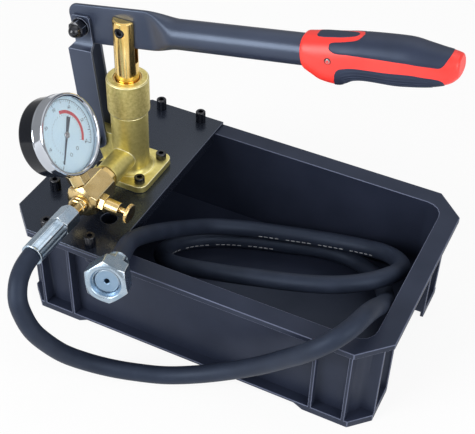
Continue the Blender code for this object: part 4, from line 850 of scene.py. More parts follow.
@dataclass
class Workshop:
    """Makes finished pieces of forms and meshes, and hands them to the frame."""

    made: dict[str, Material] = field(default_factory=dict)
    count: int = 0

    def paint(self, finish: AnyFinish) -> Material:
        """Build a finish's material once.

        Args:
            finish: The finish.

        Returns:
            Its material.
        """
        if finish.name not in self.made:
            self.made[finish.name] = finish.material()
        return self.made[finish.name]

    def piece(
        self,
        form: BMesh | Mesh,
        name: str,
        finish: AnyFinish,
        body: Body,
        nodes: Sequence[str] = (),
        place: Matrix | None = None,
        sharp: float = 40 * DEG,
    ) -> Object:
        """Finish a piece.

        Args:
            form: Its shape, which is used up.
            name: The piece's name.
            finish: Its finish.
            body: The body that it rides on.
            nodes: The CAD nodes that it stands for.
            place: The frame that the shape was made in.
            sharp: Edges sharper than this stay sharp in the shading.

        Returns:
            The piece.
        """
        mesh = as_mesh(form, name) if isinstance(form, BMesh) else form
        mesh.name = name
        if place is not None:
            mesh.transform(place)
        mesh.shade_smooth()
        mesh.set_sharp_from_angle(angle=sharp)
        mesh.materials.clear()
        mesh.materials.append(self.paint(finish))
        piece = stand(name, mesh)
        weigh_normals(piece)
        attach(piece, body.value)
        if nodes:
            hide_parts(*nodes)
        self.count += 1
        LOG.info("%s: %d faces, rides on %s", name, len(piece.data.polygons), body.value)
        return piece

    def dressed(self, node: str, name: str, finish: Finish, body: Body, edge: float = 0.3 * MM) -> None:
        """Replace a CAD node by its own shape with rounded edges.

        Args:
            node: The CAD node.
            name: The piece's name.
            finish: Its finish.
            body: The body that it rides on.
            edge: Width of the rounded edges.
        """
        form = cad_form(node)
        round_edges(form, edge)
        self.piece(form, name, finish, body, [node])

    def keep(self, node: str, finish: Finish) -> None:
        """Leave a CAD node in place and give it a finish.

        Args:
            node: The node.
            finish: Its finish.
        """
        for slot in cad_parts[node].material_slots:
            slot.material = self.paint(finish)
        LOG.info("%s: CAD node, finish %s", node, finish.name)


def weigh_normals(piece: Object) -> None:
    """Shade large faces flat and let the small ones between them turn the shading.

    Args:
        piece: The piece.
    """
    modifier = piece.modifiers.new("normals", "WEIGHTED_NORMAL")
    modifier.weight = 100
    modifier.keep_sharp = True
    settle(piece)


class Recipe(Bench):
    """A Geometry Nodes tree with named number inputs."""

    def __init__(self, name: str, inputs: dict[str, float | int]) -> None:
        """Start a tree.

        Args:
            name: The tree's name.
            inputs: The inputs' names and default values.
        """
        self.tree = bpy.data.node_groups.new(name, "GeometryNodeTree")
        face = self.tree.interface
        face.new_socket("Geometry", in_out="INPUT", socket_type="NodeSocketGeometry")
        self.identifiers: dict[str, str] = {}
        for label, value in inputs.items():
            kind = "NodeSocketInt" if isinstance(value, int) else "NodeSocketFloat"
            socket = face.new_socket(label, in_out="INPUT", socket_type=kind)
            socket.default_value = value
            self.identifiers[label] = socket.identifier
        face.new_socket("Geometry", in_out="OUTPUT", socket_type="NodeSocketGeometry")
        self.inlet = self.tree.nodes.new("NodeGroupInput")

    def value(self, label: str) -> Term:
        """One of the tree's inputs."""
        return Term(self.tree, self.inlet.outputs[label])

    def index(self) -> Term:
        """The number of the point, from zero."""
        return Term(self.tree, self.add("GeometryNodeInputIndex").outputs["Index"])

    def vector(self, x: Term | float, y: Term | float, z: Term | float) -> NodeSocket:
        """Join three numbers."""
        return self.add("ShaderNodeCombineXYZ", inputs={"X": x, "Y": y, "Z": z}).outputs[0]

    def vector_math(self, operation: str, inputs: dict[str, object]) -> NodeSocket:
        """Work on vectors."""
        return self.add("ShaderNodeVectorMath", {"operation": operation}, inputs).outputs[0]

    def wave(self, operation: str, angle: Term) -> Term:
        """Sine or cosine of an angle."""
        return angle.math(operation, angle, 0.0)

    def bar(self, sides: Term | int, radius: Term, length: Term, levels: int = 1) -> NodeSocket:
        """A bar along Z, centred, with levels of faces along its side."""
        inputs = {"Vertices": sides, "Side Segments": levels, "Radius": radius, "Depth": length}
        return self.add("GeometryNodeMeshCylinder", inputs=inputs).outputs[0]

    def block(self, length: Term, width: Term, height: Term) -> NodeSocket:
        """A block, centred."""
        size = self.vector(length, width, height)
        return self.add("GeometryNodeMeshCube", inputs={"Size": size}).outputs[0]

    def lifted(self, geometry: NodeSocket, height: Term) -> NodeSocket:
        """Geometry moved along Z."""
        inputs = {"Geometry": geometry, "Translation": self.vector(0.0, 0.0, height)}
        return self.add("GeometryNodeTransform", inputs=inputs).outputs[0]

    def blended(self, blend: Blend, inputs: dict[str, object]) -> NodeSocket:
        """Add meshes to each other, or cut one out of another."""
        settings = {"operation": blend.value, "solver": "EXACT"}
        return self.add("GeometryNodeMeshBoolean", settings, inputs).outputs[0]

    def curve(self) -> NodeSocket:
        """The seed's edges as a curve."""
        inputs = {"Mesh": self.inlet.outputs["Geometry"]}
        return self.add("GeometryNodeMeshToCurve", inputs=inputs).outputs[0]

    def sweep(self, rail: NodeSocket, radius: Term, sides: int, material: Material) -> None:
        """Sweep a round bar along a curve, and end the tree.

        Args:
            rail: The curve.
            radius: The bar's radius.
            sides: Its facets round.
            material: Its material.
        """
        inputs = {"Resolution": sides, "Radius": radius}
        ring = self.add("GeometryNodeCurvePrimitiveCircle", inputs=inputs)
        inputs = {"Curve": rail, "Profile Curve": ring.outputs[0], "Fill Caps": True}
        self.close(self.add("GeometryNodeCurveToMesh", inputs=inputs).outputs[0], material)

    def scatter(self, instance: NodeSocket, inputs: dict[str, object], material: Material) -> None:
        """Put a copy on every point, and end the tree.

        Args:
            instance: What is copied.
            inputs: The points, and values or links of other sockets, such as the rotation.
            material: The copies' material.
        """
        spread = self.add("GeometryNodeInstanceOnPoints", inputs={**inputs, "Instance": instance})
        self.close(spread.outputs[0], material)

    def close(self, geometry: NodeSocket, material: Material) -> None:
        """Realize the instances, set the material and end the tree.

        Args:
            geometry: What the tree made.
            material: Its material.
        """
        real = self.add("GeometryNodeRealizeInstances", inputs={"Geometry": geometry})
        inputs = {"Geometry": real.outputs[0], "Material": material}
        painted = self.add("GeometryNodeSetMaterial", inputs=inputs)
        outlet = self.tree.nodes.new("NodeGroupOutput")
        self.tree.links.new(painted.outputs[0], outlet.inputs[0])

    def grow(self, seed: Mesh, values: dict[str, float | int]) -> Mesh:
        """Run the tree on a seed mesh.

        Args:
            seed: The mesh that the modifier sits on, which is used up.
            values: Values of the named inputs.

        Returns:
            The result as a plain mesh.
        """
        carrier = stand("seed", seed)
        modifier = carrier.modifiers.new(self.tree.name, "NODES")
        modifier.node_group = self.tree
        for label, value in values.items():
            modifier[self.identifiers[label]] = value
        mesh = evaluated(carrier)
        bpy.data.objects.remove(carrier)
        bpy.data.meshes.remove(seed)
        return mesh


def points_mesh(points: Sequence[Sequence[float]] = ((0, 0, 0),), chain: bool = False) -> Mesh:
    """A seed mesh for a recipe.

    Args:
        points: Its points.
        chain: Whether edges join them in a row.

    Returns:
        The mesh.
    """
    mesh = bpy.data.meshes.new("seed")
    edges = [(index, index + 1) for index in range(len(points) - 1)] if chain else []
    mesh.from_pydata([tuple(point) for point in points], edges, [])
    return mesh


@dataclass
class SubAssembly:
    """A group of pieces that is made in one workshop."""

    shop: Workshop


# Tank and plate


@dataclass
class Tank(SubAssembly):
    """The moulded tank and the sheet over its pump end."""

    moulded_edge: float = 0.6 * MM
    sheet_edge: float = 0.5 * MM

    def build(self) -> None:
        """Make both pieces."""
        self.shop.dressed("tank", "tank_moulding", TANK_PLASTIC, Body.FRAME, self.moulded_edge)
        self.shop.dressed("top_plate", "plate_sheet", PLATE_STEEL, Body.FRAME, self.sheet_edge)


@dataclass
class SocketScrews(SubAssembly):
    """The socket screws of the plate and of the pump's flange."""

    head_radius: float = 4.6 * MM
    head_height: float = 5.0 * MM
    chamfer: float = 0.5 * MM
    knurl: float = 0.22 * MM
    facets: int = 56
    socket_flats: float = 4.4 * MM
    socket_depth: float = 3.2 * MM
    shank_radius: float = 2.4 * MM
    shank_length: float = 9.0 * MM
    shank_sides: int = 24
    overlap: float = 0.5 * MM
    # Each set: name, how many, height of the head, length of the shank.
    sets: tuple = (("plate_screw", 6, 10.4 * MM, 9.0 * MM), ("flange_screw", 4, 5.5 * MM, 12.0 * MM))

    def recipe(self, material: Material) -> Recipe:
        """The tree that puts one screw on every point.

        Args:
            material: The screws' material.

        Returns:
            The tree.
        """
        tree = Recipe(
            "socket_screws",
            {
                "Head Radius": self.head_radius, "Head Height": self.head_height, "Chamfer": self.chamfer,
                "Knurl": self.knurl, "Facets": self.facets, "Socket Flats": self.socket_flats,
                "Socket Depth": self.socket_depth, "Shank Radius": self.shank_radius,
                "Shank Length": self.shank_length,
            },
        )
        height = tree.value("Head Height")
        head = tree.bar(tree.value("Facets"), tree.value("Head Radius"), height, levels=2)
        place = tree.add("GeometryNodeInputPosition").outputs[0]
        rise = Term(tree.tree, tree.add("ShaderNodeSeparateXYZ", inputs={"Vector": place}).outputs["Z"])
        top = rise > height / 4
        middle = (rise > height * -0.25) * (rise < height / 4)
        ridge = tree.index() % 2.0
        pull = (1.0 - top) * ridge * tree.value("Knurl") + top * tree.value("Chamfer")
        level = tree.vector_math("MULTIPLY", {"Vector": place, "Vector_001": (-1.0, -1.0, 0.0)})
        inward = tree.vector_math("NORMALIZE", {"Vector": level})
        side = tree.vector_math("SCALE", {"Vector": inward, "Scale": pull})
        lift = tree.vector(0.0, 0.0, middle * (height / 2 - tree.value("Chamfer")) + height / 2)
        offset = tree.vector_math("ADD", {"Vector": side, "Vector_001": lift})
        knurled = tree.add("GeometryNodeSetPosition", inputs={"Geometry": head, "Offset": offset})
        length = tree.value("Shank Length")
        shank = tree.bar(self.shank_sides, tree.value("Shank Radius"), length + self.overlap)
        lowered = tree.lifted(shank, self.overlap / 2 - length / 2)
        whole = tree.blended(Blend.ADD, {"Mesh 2": [knurled.outputs[0], lowered]})
        corner = tree.value("Socket Flats") / math.sqrt(3)
        key = tree.lifted(tree.bar(6, corner, tree.value("Socket Depth") * 2.0), height)
        screw = tree.blended(Blend.CUT, {"Mesh 1": whole, "Mesh 2": key})
        tree.scatter(screw, {"Points": tree.inlet.outputs["Geometry"]}, material)
        return tree

    def build(self) -> None:
        """Grow both sets where the CAD's screws stand."""
        tree = self.recipe(self.shop.paint(SCREW_STEEL))
        for label, count, height, grip in self.sets:
            nodes = [f"{label}_{index}" for index in range(1, count + 1)]
            places = []
            for node in nodes:
                low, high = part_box(node)
                places.append(((low.x + high.x) / 2, (low.y + high.y) / 2, high.z - height))
            mesh = tree.grow(points_mesh(places), {"Head Height": height, "Shank Length": grip})
            self.shop.piece(mesh, f"{label}s", SCREW_STEEL, Body.FRAME, nodes, sharp=25 * DEG)


# Pump


@dataclass
class Pump(SubAssembly):
    """Cylinder casting, gland nut with its rings, and the plunger."""

    gland_low: float = 163.7 * MM
    gland_high: float = 197.1 * MM
    gland_radius: float = 18.0 * MM
    tube_radius: float = 16.2 * MM
    neck_radius: float = 13.7 * MM
    wiper_radius: float = 11.9 * MM
    bore_radius: float = 10.3 * MM
    wiper_low: float = 194.1 * MM
    wiper_high: float = 196.7 * MM
    flange_high: float = 105.3 * MM
    column_radius: float = 15.95 * MM
    column_high: float = 163.3 * MM
    column_fillet: float = 5.6 * MM
    outlet_radius: float = 10.8 * MM
    outlet_from: float = 11.2 * MM
    outlet_to: float = 41.05 * MM
    skin_wall: float = 1.5 * MM
    crease_play: float = 0.03 * MM
    edge: float = 0.5 * MM
    plunger_radius: float = 10.0 * MM
    plunger_steps: int = 90
    plunger_chamfer: float = 1.0 * MM
    plunger_edge: float = 0.12 * MM
    groove_radius: float = 8.4 * MM
    groove_rise: float = 6.0 * MM
    groove_height: float = 3.0 * MM
    slot_half: float = 2.5 * MM
    slot_depth: float = 39.0 * MM
    pin_hole: float = 3.25 * MM
    seat_hole: float = 4.45 * MM
    seat_from: float = 7.1 * MM
    pin_shank: float = 3.0 * MM
    pin_tip: float = 0.4 * MM
    pin_head: float = 2.6 * MM
    pin_chamfer: float = 0.5 * MM
    key_flats: float = 4.6 * MM
    key_depth: float = 2.0 * MM
    key_lead: float = 0.2 * MM
    gland_lead: float = 2.5 * MM
    gland_round: float = 1.0 * MM
    gland_lid: float = 3.4 * MM
    wiper_play: float = 0.3 * MM
    wiper_lip: float = 0.5 * MM

    def build(self) -> None:
        """Make the pieces from the flange upwards, and finish the hidden ones."""
        self.build_casting()
        self.build_gland()
        self.shop.keep("gland_packing", SEAL_WHITE)
        self.build_plunger()
        self.build_pin()
        self.shop.keep("piston_seal", SEAL_RUBBER)
        self.shop.keep("suction_valve_seat", MACHINED_BRASS)
        self.shop.keep("suction_ball", PLAIN_STEEL)
        self.shop.keep("discharge_ball", PLAIN_STEEL)
        self.shop.keep("suction_strainer", TANK_PLASTIC)

    def build_casting(self) -> None:
        """The casting, whose column and outlet are turned smooth and meet in a narrow fillet, which is marked
        so that its finish paints a highlight along it.
        """
        core = cad_form("pump_body")
        round_edges(core, self.edge)
        form = combined(core, [self.column_form(), self.outlet_form()], Blend.ADD)
        # The crease between column and outlet is marked like an edge, so the finish paints a highlight along
        # it.
        round_and_mark_edges(form, self.on_crease, self.edge)
        self.shop.piece(form, "pump_casting", BODY_BRASS, Body.FRAME, ["pump_body"])

    def column_form(self) -> BMesh:
        """The column's skin, from its fillet on the flange to its top.

        Returns:
            The form.
        """
        radius, fillet, foot, top = self.column_radius, self.column_fillet, self.flange_high, self.column_high
        inner = radius - self.skin_wall
        profile = [(inner, foot - self.edge), (radius + fillet, foot - self.edge)]
        for step in range(9):
            tilt = FULL_TURN / 4 * step / 8
            profile.append((radius + fillet * (1 - math.sin(tilt)), foot + fillet * (1 - math.cos(tilt))))
        profile += [(radius, top - self.edge), (radius - self.edge, top), (inner, top)]
        return moved(revolve(profile, closed=True), Matrix.Translation((PUMP_X, PUMP_Y, 0)))

    def outlet_form(self) -> BMesh:
        """The outlet's skin, from inside the column to its mouth.

        Returns:
            The form.
        """
        radius, end = self.outlet_radius, self.outlet_to
        inner = radius - self.skin_wall
        profile = [
            (inner, self.outlet_from), (radius, self.outlet_from), (radius, end - self.edge),
            (radius - 0.3 * self.edge, end - 0.3 * self.edge), (radius - self.edge, end), (inner, end),
        ]
        return moved(revolve(profile, closed=True), toward((PUMP_X, PUMP_Y, OUTLET_Z), (0, -1, 0)))

    def build_plunger(self) -> None:
        """The plunger, slotted for the lever and bored for its cross pin and the pin's head."""
        low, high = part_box("plunger")
        radius, chamfer, groove = self.plunger_radius, self.plunger_chamfer, low.z + self.groove_rise
        above = groove + self.groove_height
        profile = [
            (0.0, low.z), (radius, low.z), (radius, groove), (self.groove_radius, groove),
            (self.groove_radius, above), (radius, above), (radius, high.z - chamfer),
            (radius - chamfer, high.z), (0.0, high.z),
        ]
        reach = radius + chamfer
        corners = [
            (side * reach, face * self.slot_half) for side, face in ((-1, -1), (1, -1), (1, 1), (-1, 1))
        ]
        slot = skin([[(x, y, z) for x, y in corners] for z in (high.z - self.slot_depth, high.z + chamfer)])
        near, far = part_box("plunger_pin")
        across = toward((0, 0, (near.z + far.z) / 2), (0, -1, 0))
        cuts = [slot]
        for size, start in ((self.pin_hole, -reach), (self.seat_hole, self.seat_from)):
            hole = revolve([(0.0, start), (size, start), (size, reach), (0.0, reach)], 48)
            cuts.append(moved(hole, across))
        form = combined(revolve(profile, self.plunger_steps), cuts, Blend.CUT)
        round_edges(form, self.plunger_edge, 40 * DEG)
        place = Matrix.Translation((PUMP_X, PUMP_Y, 0))
        self.shop.piece(form, "plunger_rod", PLUNGER_BRASS, Body.PLUNGER, ["plunger"], place)

    def on_crease(self, edge: BMEdge) -> bool:
        """Tell the edges where the column's skin and the outlet's meet.

        Args:
            edge: An edge of the casting.

        Returns:
            Whether both its ends are on both skins.
        """
        for point in (vert.co for vert in edge.verts):
            out = math.hypot(point.x - PUMP_X, point.y - PUMP_Y)
            off = math.hypot(point.x - PUMP_X, point.z - OUTLET_Z)
            if max(abs(out - self.column_radius), abs(off - self.outlet_radius)) >= self.crease_play:
                return False
        return True

    def build_pin(self) -> None:
        """The cross pin, whose head has a hexagon socket and sits in the front cheek."""
        low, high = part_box("plunger_pin")
        place = toward((PUMP_X, PUMP_Y, (low.z + high.z) / 2), (0, -1, 0))
        front, back = PUMP_Y - low.y, PUMP_Y - high.y
        head, shank, key = (high.z - low.z) / 2, self.pin_shank, self.key_flats / 2
        floor, seat, round_off = front - self.key_depth, front - self.pin_head, self.pin_chamfer
        profile = [
            (0.0, floor), (key, floor), (key, front - self.key_lead), (key + round_off, front),
            (head - round_off, front), (head, front - round_off), (head, seat), (shank, seat),
            (shank, back + self.pin_tip), (shank - self.pin_tip, back), (0.0, back),
        ]
        form = revolve(profile, 72, reach=partial(socket_reach, self.key_flats))
        name = "plunger_pin_socket"
        self.shop.piece(form, name, SCREW_STEEL, Body.PLUNGER, ["plunger_pin"], place)

    def build_gland(self) -> None:
        """The nut over the cylinder's neck and the wiper ring in its top."""
        place = Matrix.Translation((PUMP_X, PUMP_Y, 0))
        top, outer, play, lip = self.gland_high, self.gland_radius, self.wiper_play, self.wiper_lip
        seat = self.wiper_low - play
        under = seat - self.gland_lid
        mouth = self.wiper_radius + play
        profile = [
            (self.tube_radius, self.gland_low), (outer, self.gland_low + self.gland_lead),
            (outer, top - self.gland_round), (outer - self.gland_round, top), (mouth, top),
            (mouth, seat), (self.bore_radius, seat), (self.bore_radius, under),
            (self.neck_radius, under), (self.neck_radius, self.gland_low),
        ]
        form = revolve(profile, closed=True)
        round_edges(form, 0.3 * MM, 25 * DEG)
        self.shop.piece(form, "gland_collar", CAST_BRASS, Body.FRAME, ["gland_nut"], place)
        bore, rim, top = self.bore_radius, self.wiper_radius, self.wiper_high
        profile = [
            (bore, self.wiper_low), (rim, self.wiper_low), (rim, top - play), (rim - play, top),
            (bore + lip, top), (bore, top - 2 * play),
        ]
        form = revolve(profile, closed=True)
        self.shop.piece(form, "wiper_lip", PLUNGER_BRASS, Body.FRAME, ["wiper_ring"], place)


# Manifold


@dataclass
class Manifold(SubAssembly):
    """Hexagon body on the outlet with its lock nut, hose adapter and release valve."""

    port_y: float = -67.0 * MM
    back: float = -45.0 * MM
    front: float = -78.0 * MM
    flats: float = 27.0 * MM
    lean: float = -4.5 * DEG
    nut_flats: float = 19.0 * MM
    nut_back: float = -37.3 * MM
    nut_length: float = 7.4 * MM
    nut_bore: float = 6.7 * MM
    spigot: float = 6.4 * MM
    spigot_length: float = 12.5 * MM
    passage: float = 2.5 * MM
    mouth: float = 6.7 * MM
    mouth_depth: float = 7.0 * MM
    back_share: float = 0.96
    front_share: float = 0.80
    front_slope: float = math.tan(35 * DEG)
    # Outlines are (radius, height) points in millimetres.
    adapter: tuple = (
        (2.5, -6.7), (6.4, -6.7), (6.4, 0.3), (7.8, 0.3), (7.8, 2.2), (7.2, 2.6), (7.2, 3.4),
        (7.8, 3.8), (7.8, 6.0), (6.8, 6.6), (6.8, 13.0), (5.0, 13.0), (5.0, 21.0), (2.5, 21.0),
    )
    spindle: tuple = ((0, 16.1), (2.6, 19.2), (2.6, 36.4), (2.9, 36.4), (2.9, 37.5), (0, 37.5))
    knob: tuple = (
        (0, 0), (4.2, 0), (4.6, 0.5), (7.4, 0.5), (8.1, 1.0), (8.1, 3.1), (7.6, 3.7), (6.6, 3.8),
        (5.6, 3.3), (0, 3.3),
    )
    knob_low: float = 37.8 * MM
    knob_radius: float = 8.1 * MM
    knurls: int = 44
    knurl_middle: float = 39.85 * MM
    thread_low: float = 20.0 * MM

    def outward(self) -> Matrix:
        """The frame along the outlet."""
        return toward((PUMP_X, 0, OUTLET_Z), (0, -1, 0))

    def sideways(self) -> Matrix:
        """The frame along the spindle."""
        return toward((PUMP_X, self.port_y, OUTLET_Z), (math.cos(self.lean), 0, math.sin(self.lean)))

    def build(self) -> None:
        """Make the pieces from the outlet forwards."""
        form = nut_form(self.nut_flats, -self.nut_back, -self.nut_back + self.nut_length, self.nut_bore)
        round_edges(form, 0.2 * MM, 25 * DEG)
        self.shop.piece(form, "outlet_lock_nut", MACHINED_BRASS, Body.FRAME, ["outlet_nut"], self.outward())
        self.build_body()
        self.build_adapter()
        self.build_valve()
        self.build_knob()

    def build_body(self) -> None:
        """The hexagon block, turned down to cones at its ends, with its spigot."""
        low, high, half = -self.back, -self.front, self.flats / 2
        end, floor = low - self.spigot_length, high - self.mouth_depth
        form = hexagon_form(
            self.flats,
            ConeEnd(low, self.back_share * half),
            ConeEnd(high, self.front_share * half, self.front_slope),
            [(self.passage, end), (self.spigot, end), (self.spigot, low)],
            [(self.mouth, high), (self.mouth, floor), (self.passage, floor)],
            self.lean,
        )
        round_edges(form, 0.35 * MM, 24 * DEG)
        name = "manifold_block"
        self.shop.piece(form, name, MACHINED_BRASS, Body.FRAME, ["manifold_body"], self.outward())

    def build_adapter(self) -> None:
        """The stepped adapter with its turned shoulder."""
        form = revolve(outline(self.adapter, -self.front), closed=True)
        round_edges(form, 0.2 * MM, 25 * DEG)
        name = "adapter_turned"
        self.shop.piece(form, name, MACHINED_BRASS, Body.FRAME, ["hose_adapter"], self.outward())

    def build_valve(self) -> None:
        """Bonnet and threaded spindle."""
        place = self.sideways()
        self.shop.dressed("release_bonnet", "valve_bonnet", MACHINED_BRASS, Body.FRAME)
        form = revolve(outline(self.spindle), 48)
        self.shop.piece(form, "spindle_rod", MACHINED_BRASS, Body.SPINDLE, ["release_spindle"], place)
        values = {"Radius": 2.6 * MM, "Pitch": 1.0 * MM, "Turns": 16.0, "Depth": 0.26 * MM}
        mesh = thread_recipe(self.shop.paint(MACHINED_BRASS)).grow(points_mesh(), values)
        place = raised(place, self.thread_low)
        self.shop.piece(mesh, "spindle_thread", MACHINED_BRASS, Body.SPINDLE, (), place)

    def build_knob(self) -> None:
        """The dished knob with ridges round its rim."""
        place = self.sideways()
        form = revolve(outline(self.knob, self.knob_low))
        round_edges(form, 0.15 * MM, 30 * DEG)
        self.shop.piece(form, "knob_disc", MACHINED_BRASS, Body.KNOB, ["release_knob"], place)
        sizes = {"Count": self.knurls, "Radius": self.knob_radius, "Ridge": 0.38 * MM, "Length": 2.0 * MM}
        tree = Recipe("knurled_rim", sizes)
        inputs = {"Vertices": tree.value("Count"), "Radius": tree.value("Radius")}
        circle = tree.add("GeometryNodeMeshCircle", inputs=inputs)
        ridge = tree.bar(8, tree.value("Ridge"), tree.value("Length"))
        tree.scatter(ridge, {"Points": circle.outputs[0]}, self.shop.paint(MACHINED_BRASS))
        mesh = tree.grow(points_mesh(), {"Count": self.knurls})
        place = raised(place, self.knurl_middle)
        self.shop.piece(mesh, "knob_knurl", MACHINED_BRASS, Body.KNOB, (), place)


def thread_recipe(material: Material) -> Recipe:
    """The tree of a screw thread along Z.

    Args:
        material: Its material.

    Returns:
        The tree.
    """
    tree = Recipe("screw_thread", {"Radius": 2.5 * MM, "Pitch": 1.0 * MM, "Turns": 8.0, "Depth": 0.25 * MM})
    radius, turns = tree.value("Radius"), tree.value("Turns")
    inputs = {
        "Resolution": 32, "Rotations": turns, "Start Radius": radius, "End Radius": radius,
        "Height": turns * tree.value("Pitch"),
    }
    helix = tree.add("GeometryNodeCurveSpiral", inputs=inputs)
    tree.sweep(helix.outputs[0], tree.value("Depth"), 4, material)
    return tree


# Gauge


@dataclass
class Gauge(SubAssembly):
    """The gauge in its dial's frame: X to the right, Y up the stem, Z out of the dial."""

    origin: Point = (PUMP_X, -67.0 * MM, OUTLET_Z)
    lean: float = 25.5 * DEG
    reach: float = 58.6 * MM
    # Outlines are (radius, height) points in millimetres.
    case: tuple = (
        (0, -10.3), (9, -10.3), (11, -10.9), (28.5, -10.9), (30.9, -10.4), (32.1, -9.1), (32.5, -7.5),
        (32.5, 5.5), (31.3, 5.5), (31.3, -7.5), (28.9, -9.5), (0, -9),
    )
    bezel: tuple = (
        (32.1, 5.8), (33, 5.8), (33.5, 6.3), (33.5, 7.4), (33.2, 7.8), (33.2, 14.2), (33.5, 14.6),
        (33.5, 16.4), (33, 17.3), (32.2, 17.6), (31.3, 17.4), (30.5, 16.7), (30.3, 16), (32.1, 16),
    )
    face_radius: float = 31.8 * MM
    dial_high: float = 11.4 * MM
    glass_low: float = 13.7 * MM
    glass_high: float = 15.7 * MM
    rest: float = 225.0 * DEG
    sweep: float = 270.0 * DEG
    hub_hole: float = 1.5 * MM
    sheet: float = 0.8 * MM
    print_lift: float = 0.05 * MM
    # Each row of ticks: name, count, inner radius, length and width in millimetres.
    ticks: tuple = (
        ("minor", 61, 26.6, 1.6, 0.26), ("major", 13, 25.4, 2.8, 0.50), ("inner", 31, 15.6, 1.1, 0.26),
    )
    red_arc: tuple = (17.3 * MM, 20.0 * MM)
    fine_ring: tuple = (28.3 * MM, 28.65 * MM)
    ring_mark: tuple = (1.1 * MM, 1.5 * MM)
    mark_spots: tuple = ((-5.0 * MM, -15.5 * MM), (4.0 * MM, -15.0 * MM))
    arc_from: float = 78.0 * DEG
    arc_to: float = -45.0 * DEG
    number_radius: float = 22.8 * MM
    number_size: float = 3.6 * MM
    numbers_shown: int = 7
    number_step: int = 10
    tip: float = 24.3 * MM
    tail: float = -15.0 * MM
    # The hub's outline: (radius, height) points in millimetres from the pointer's upper side.
    arbor: tuple = (
        (0, -7.0), (1.2, -7.0), (1.2, -0.65), (2.6, -0.65), (2.6, 0.3), (2.2, 0.6), (0, 0.6),
    )

    def dial_frame(self) -> Matrix:
        """The frame of the dial.

        Returns:
            Its matrix.
        """
        up = Vector((-math.sin(self.lean), 0, math.cos(self.lean)))
        out = Vector((math.cos(self.lean), 0, math.sin(self.lean)))
        centre = Vector(self.origin) + self.reach * up
        turn = Matrix((Vector((0, 1, 0)), up, out)).transposed().to_4x4()
        return Matrix.Translation(centre) @ turn

    def build(self) -> None:
        """Make the pieces from the back forwards."""
        self.shop.dressed("gauge_stem", "stem_turned", MACHINED_BRASS, Body.FRAME, 0.35 * MM)
        self.shop.keep("gauge_tube", MACHINED_BRASS)
        self.shop.keep("gauge_movement", MACHINED_BRASS)
        self.build_case()
        self.build_dial()
        self.build_print()
        self.build_needle()

    def build_case(self) -> None:
        """Pressed case, rolled bezel and glass."""
        place = self.dial_frame()
        form = revolve(outline(self.case), 144)
        self.shop.piece(form, "case_pressing", CASE_BLACK, Body.FRAME, ["gauge_case"], place)
        form = revolve(outline(self.bezel), 160, closed=True)
        self.shop.piece(form, "bezel_rolled", CHROME, Body.FRAME, ["gauge_bezel"], place)
        low, high, rim = self.glass_low, self.glass_high, self.face_radius
        form = revolve([(0.0, low), (rim, low), (rim, high), (0.0, high)], 120)
        self.shop.piece(form, "window_glass", DIAL_GLASS, Body.FRAME, ["gauge_glass"], place)

    def build_dial(self) -> None:
        """Dial sheet with its rim."""
        high, rim = self.dial_high, self.face_radius
        low = high - self.sheet
        profile = [
            (self.hub_hole, low), (rim, low), (rim, high + 0.2 * MM), (rim - 0.5 * MM, high),
            (self.hub_hole, high),
        ]
        form = revolve(profile, 120, closed=True)
        self.shop.piece(form, "dial_sheet", DIAL_PAINT, Body.FRAME, ["gauge_dial"], self.dial_frame())

    def build_print(self) -> None:
        """Ticks, numbers, red arc, fine ring and two ring marks."""
        place = self.dial_frame()
        tree = self.tick_recipe(self.shop.paint(DIAL_BLACK))
        for label, count, radius, length, width in self.ticks:
            values = {"Count": count, "Radius": radius * MM, "Length": length * MM, "Width": width * MM}
            mesh = tree.grow(points_mesh(), values)
            level = raised(place, self.dial_high + self.print_lift)
            self.shop.piece(mesh, f"dial_ticks_{label}", DIAL_BLACK, Body.FRAME, (), level)
        self.shop.piece(self.numbers(), "dial_numbers", DIAL_BLACK, Body.FRAME, (), place)
        arc = self.band(*self.red_arc, self.arc_from, self.arc_to)
        self.shop.piece(arc, "dial_red_arc", DIAL_RED, Body.FRAME, (), place)
        thin = [self.band(*self.fine_ring, self.rest, self.arc_to)]
        for x, y in self.mark_spots:
            ring = self.band(*self.ring_mark, FULL_TURN, 0.0)
            thin.append(moved(ring, Matrix.Translation((x, y, 0))))
        self.shop.piece(joined(thin), "dial_fine_lines", DIAL_BLACK, Body.FRAME, (), place)

    def band(self, inner: float, outer: float, start: float, end: float) -> BMesh:
        """A printed arc on the dial.

        Args:
            inner: Its inner radius.
            outer: Its outer radius.
            start: The angle where it starts.
            end: The angle where it ends.

        Returns:
            The form.
        """
        low, high = self.dial_high + 0.01 * MM, self.dial_high + 0.07 * MM
        steps = 64
        rings = []
        for step in range(steps + 1):
            angle = start + (end - start) * step / steps
            x, y = math.cos(angle), math.sin(angle)
            corners = ((inner, low), (outer, low), (outer, high), (inner, high))
            rings.append([(r * x, r * y, z) for r, z in corners])
        return skin(rings)

    def tick_recipe(self, material: Material) -> Recipe:
        """The tree that sets ticks along an arc.

        Args:
            material: The ticks' material.

        Returns:
            The tree.
        """
        tree = Recipe(
            "dial_ticks",
            {
                "Count": 61, "Radius": 22.0 * MM, "Length": 1.5 * MM, "Width": 0.2 * MM,
                "Thickness": 0.06 * MM, "Start": self.rest, "Sweep": self.sweep,
            },
        )
        line = tree.add(
            "GeometryNodeMeshLine", inputs={"Count": tree.value("Count"), "Offset": (0.0, 0.0, 0.0)}
        )
        share = tree.index() / (tree.value("Count") - 1.0)
        angle = tree.value("Start") - tree.value("Sweep") * share
        middle = tree.value("Radius") + tree.value("Length") / 2
        spot = tree.vector(middle * tree.wave("COSINE", angle), middle * tree.wave("SINE", angle), 0.0)
        spread = tree.add("GeometryNodeSetPosition", inputs={"Geometry": line.outputs[0], "Position": spot})
        tick = tree.block(tree.value("Length"), tree.value("Width"), tree.value("Thickness"))
        inputs = {"Points": spread.outputs[0], "Rotation": tree.vector(0.0, 0.0, angle)}
        tree.scatter(tick, inputs, material)
        return tree

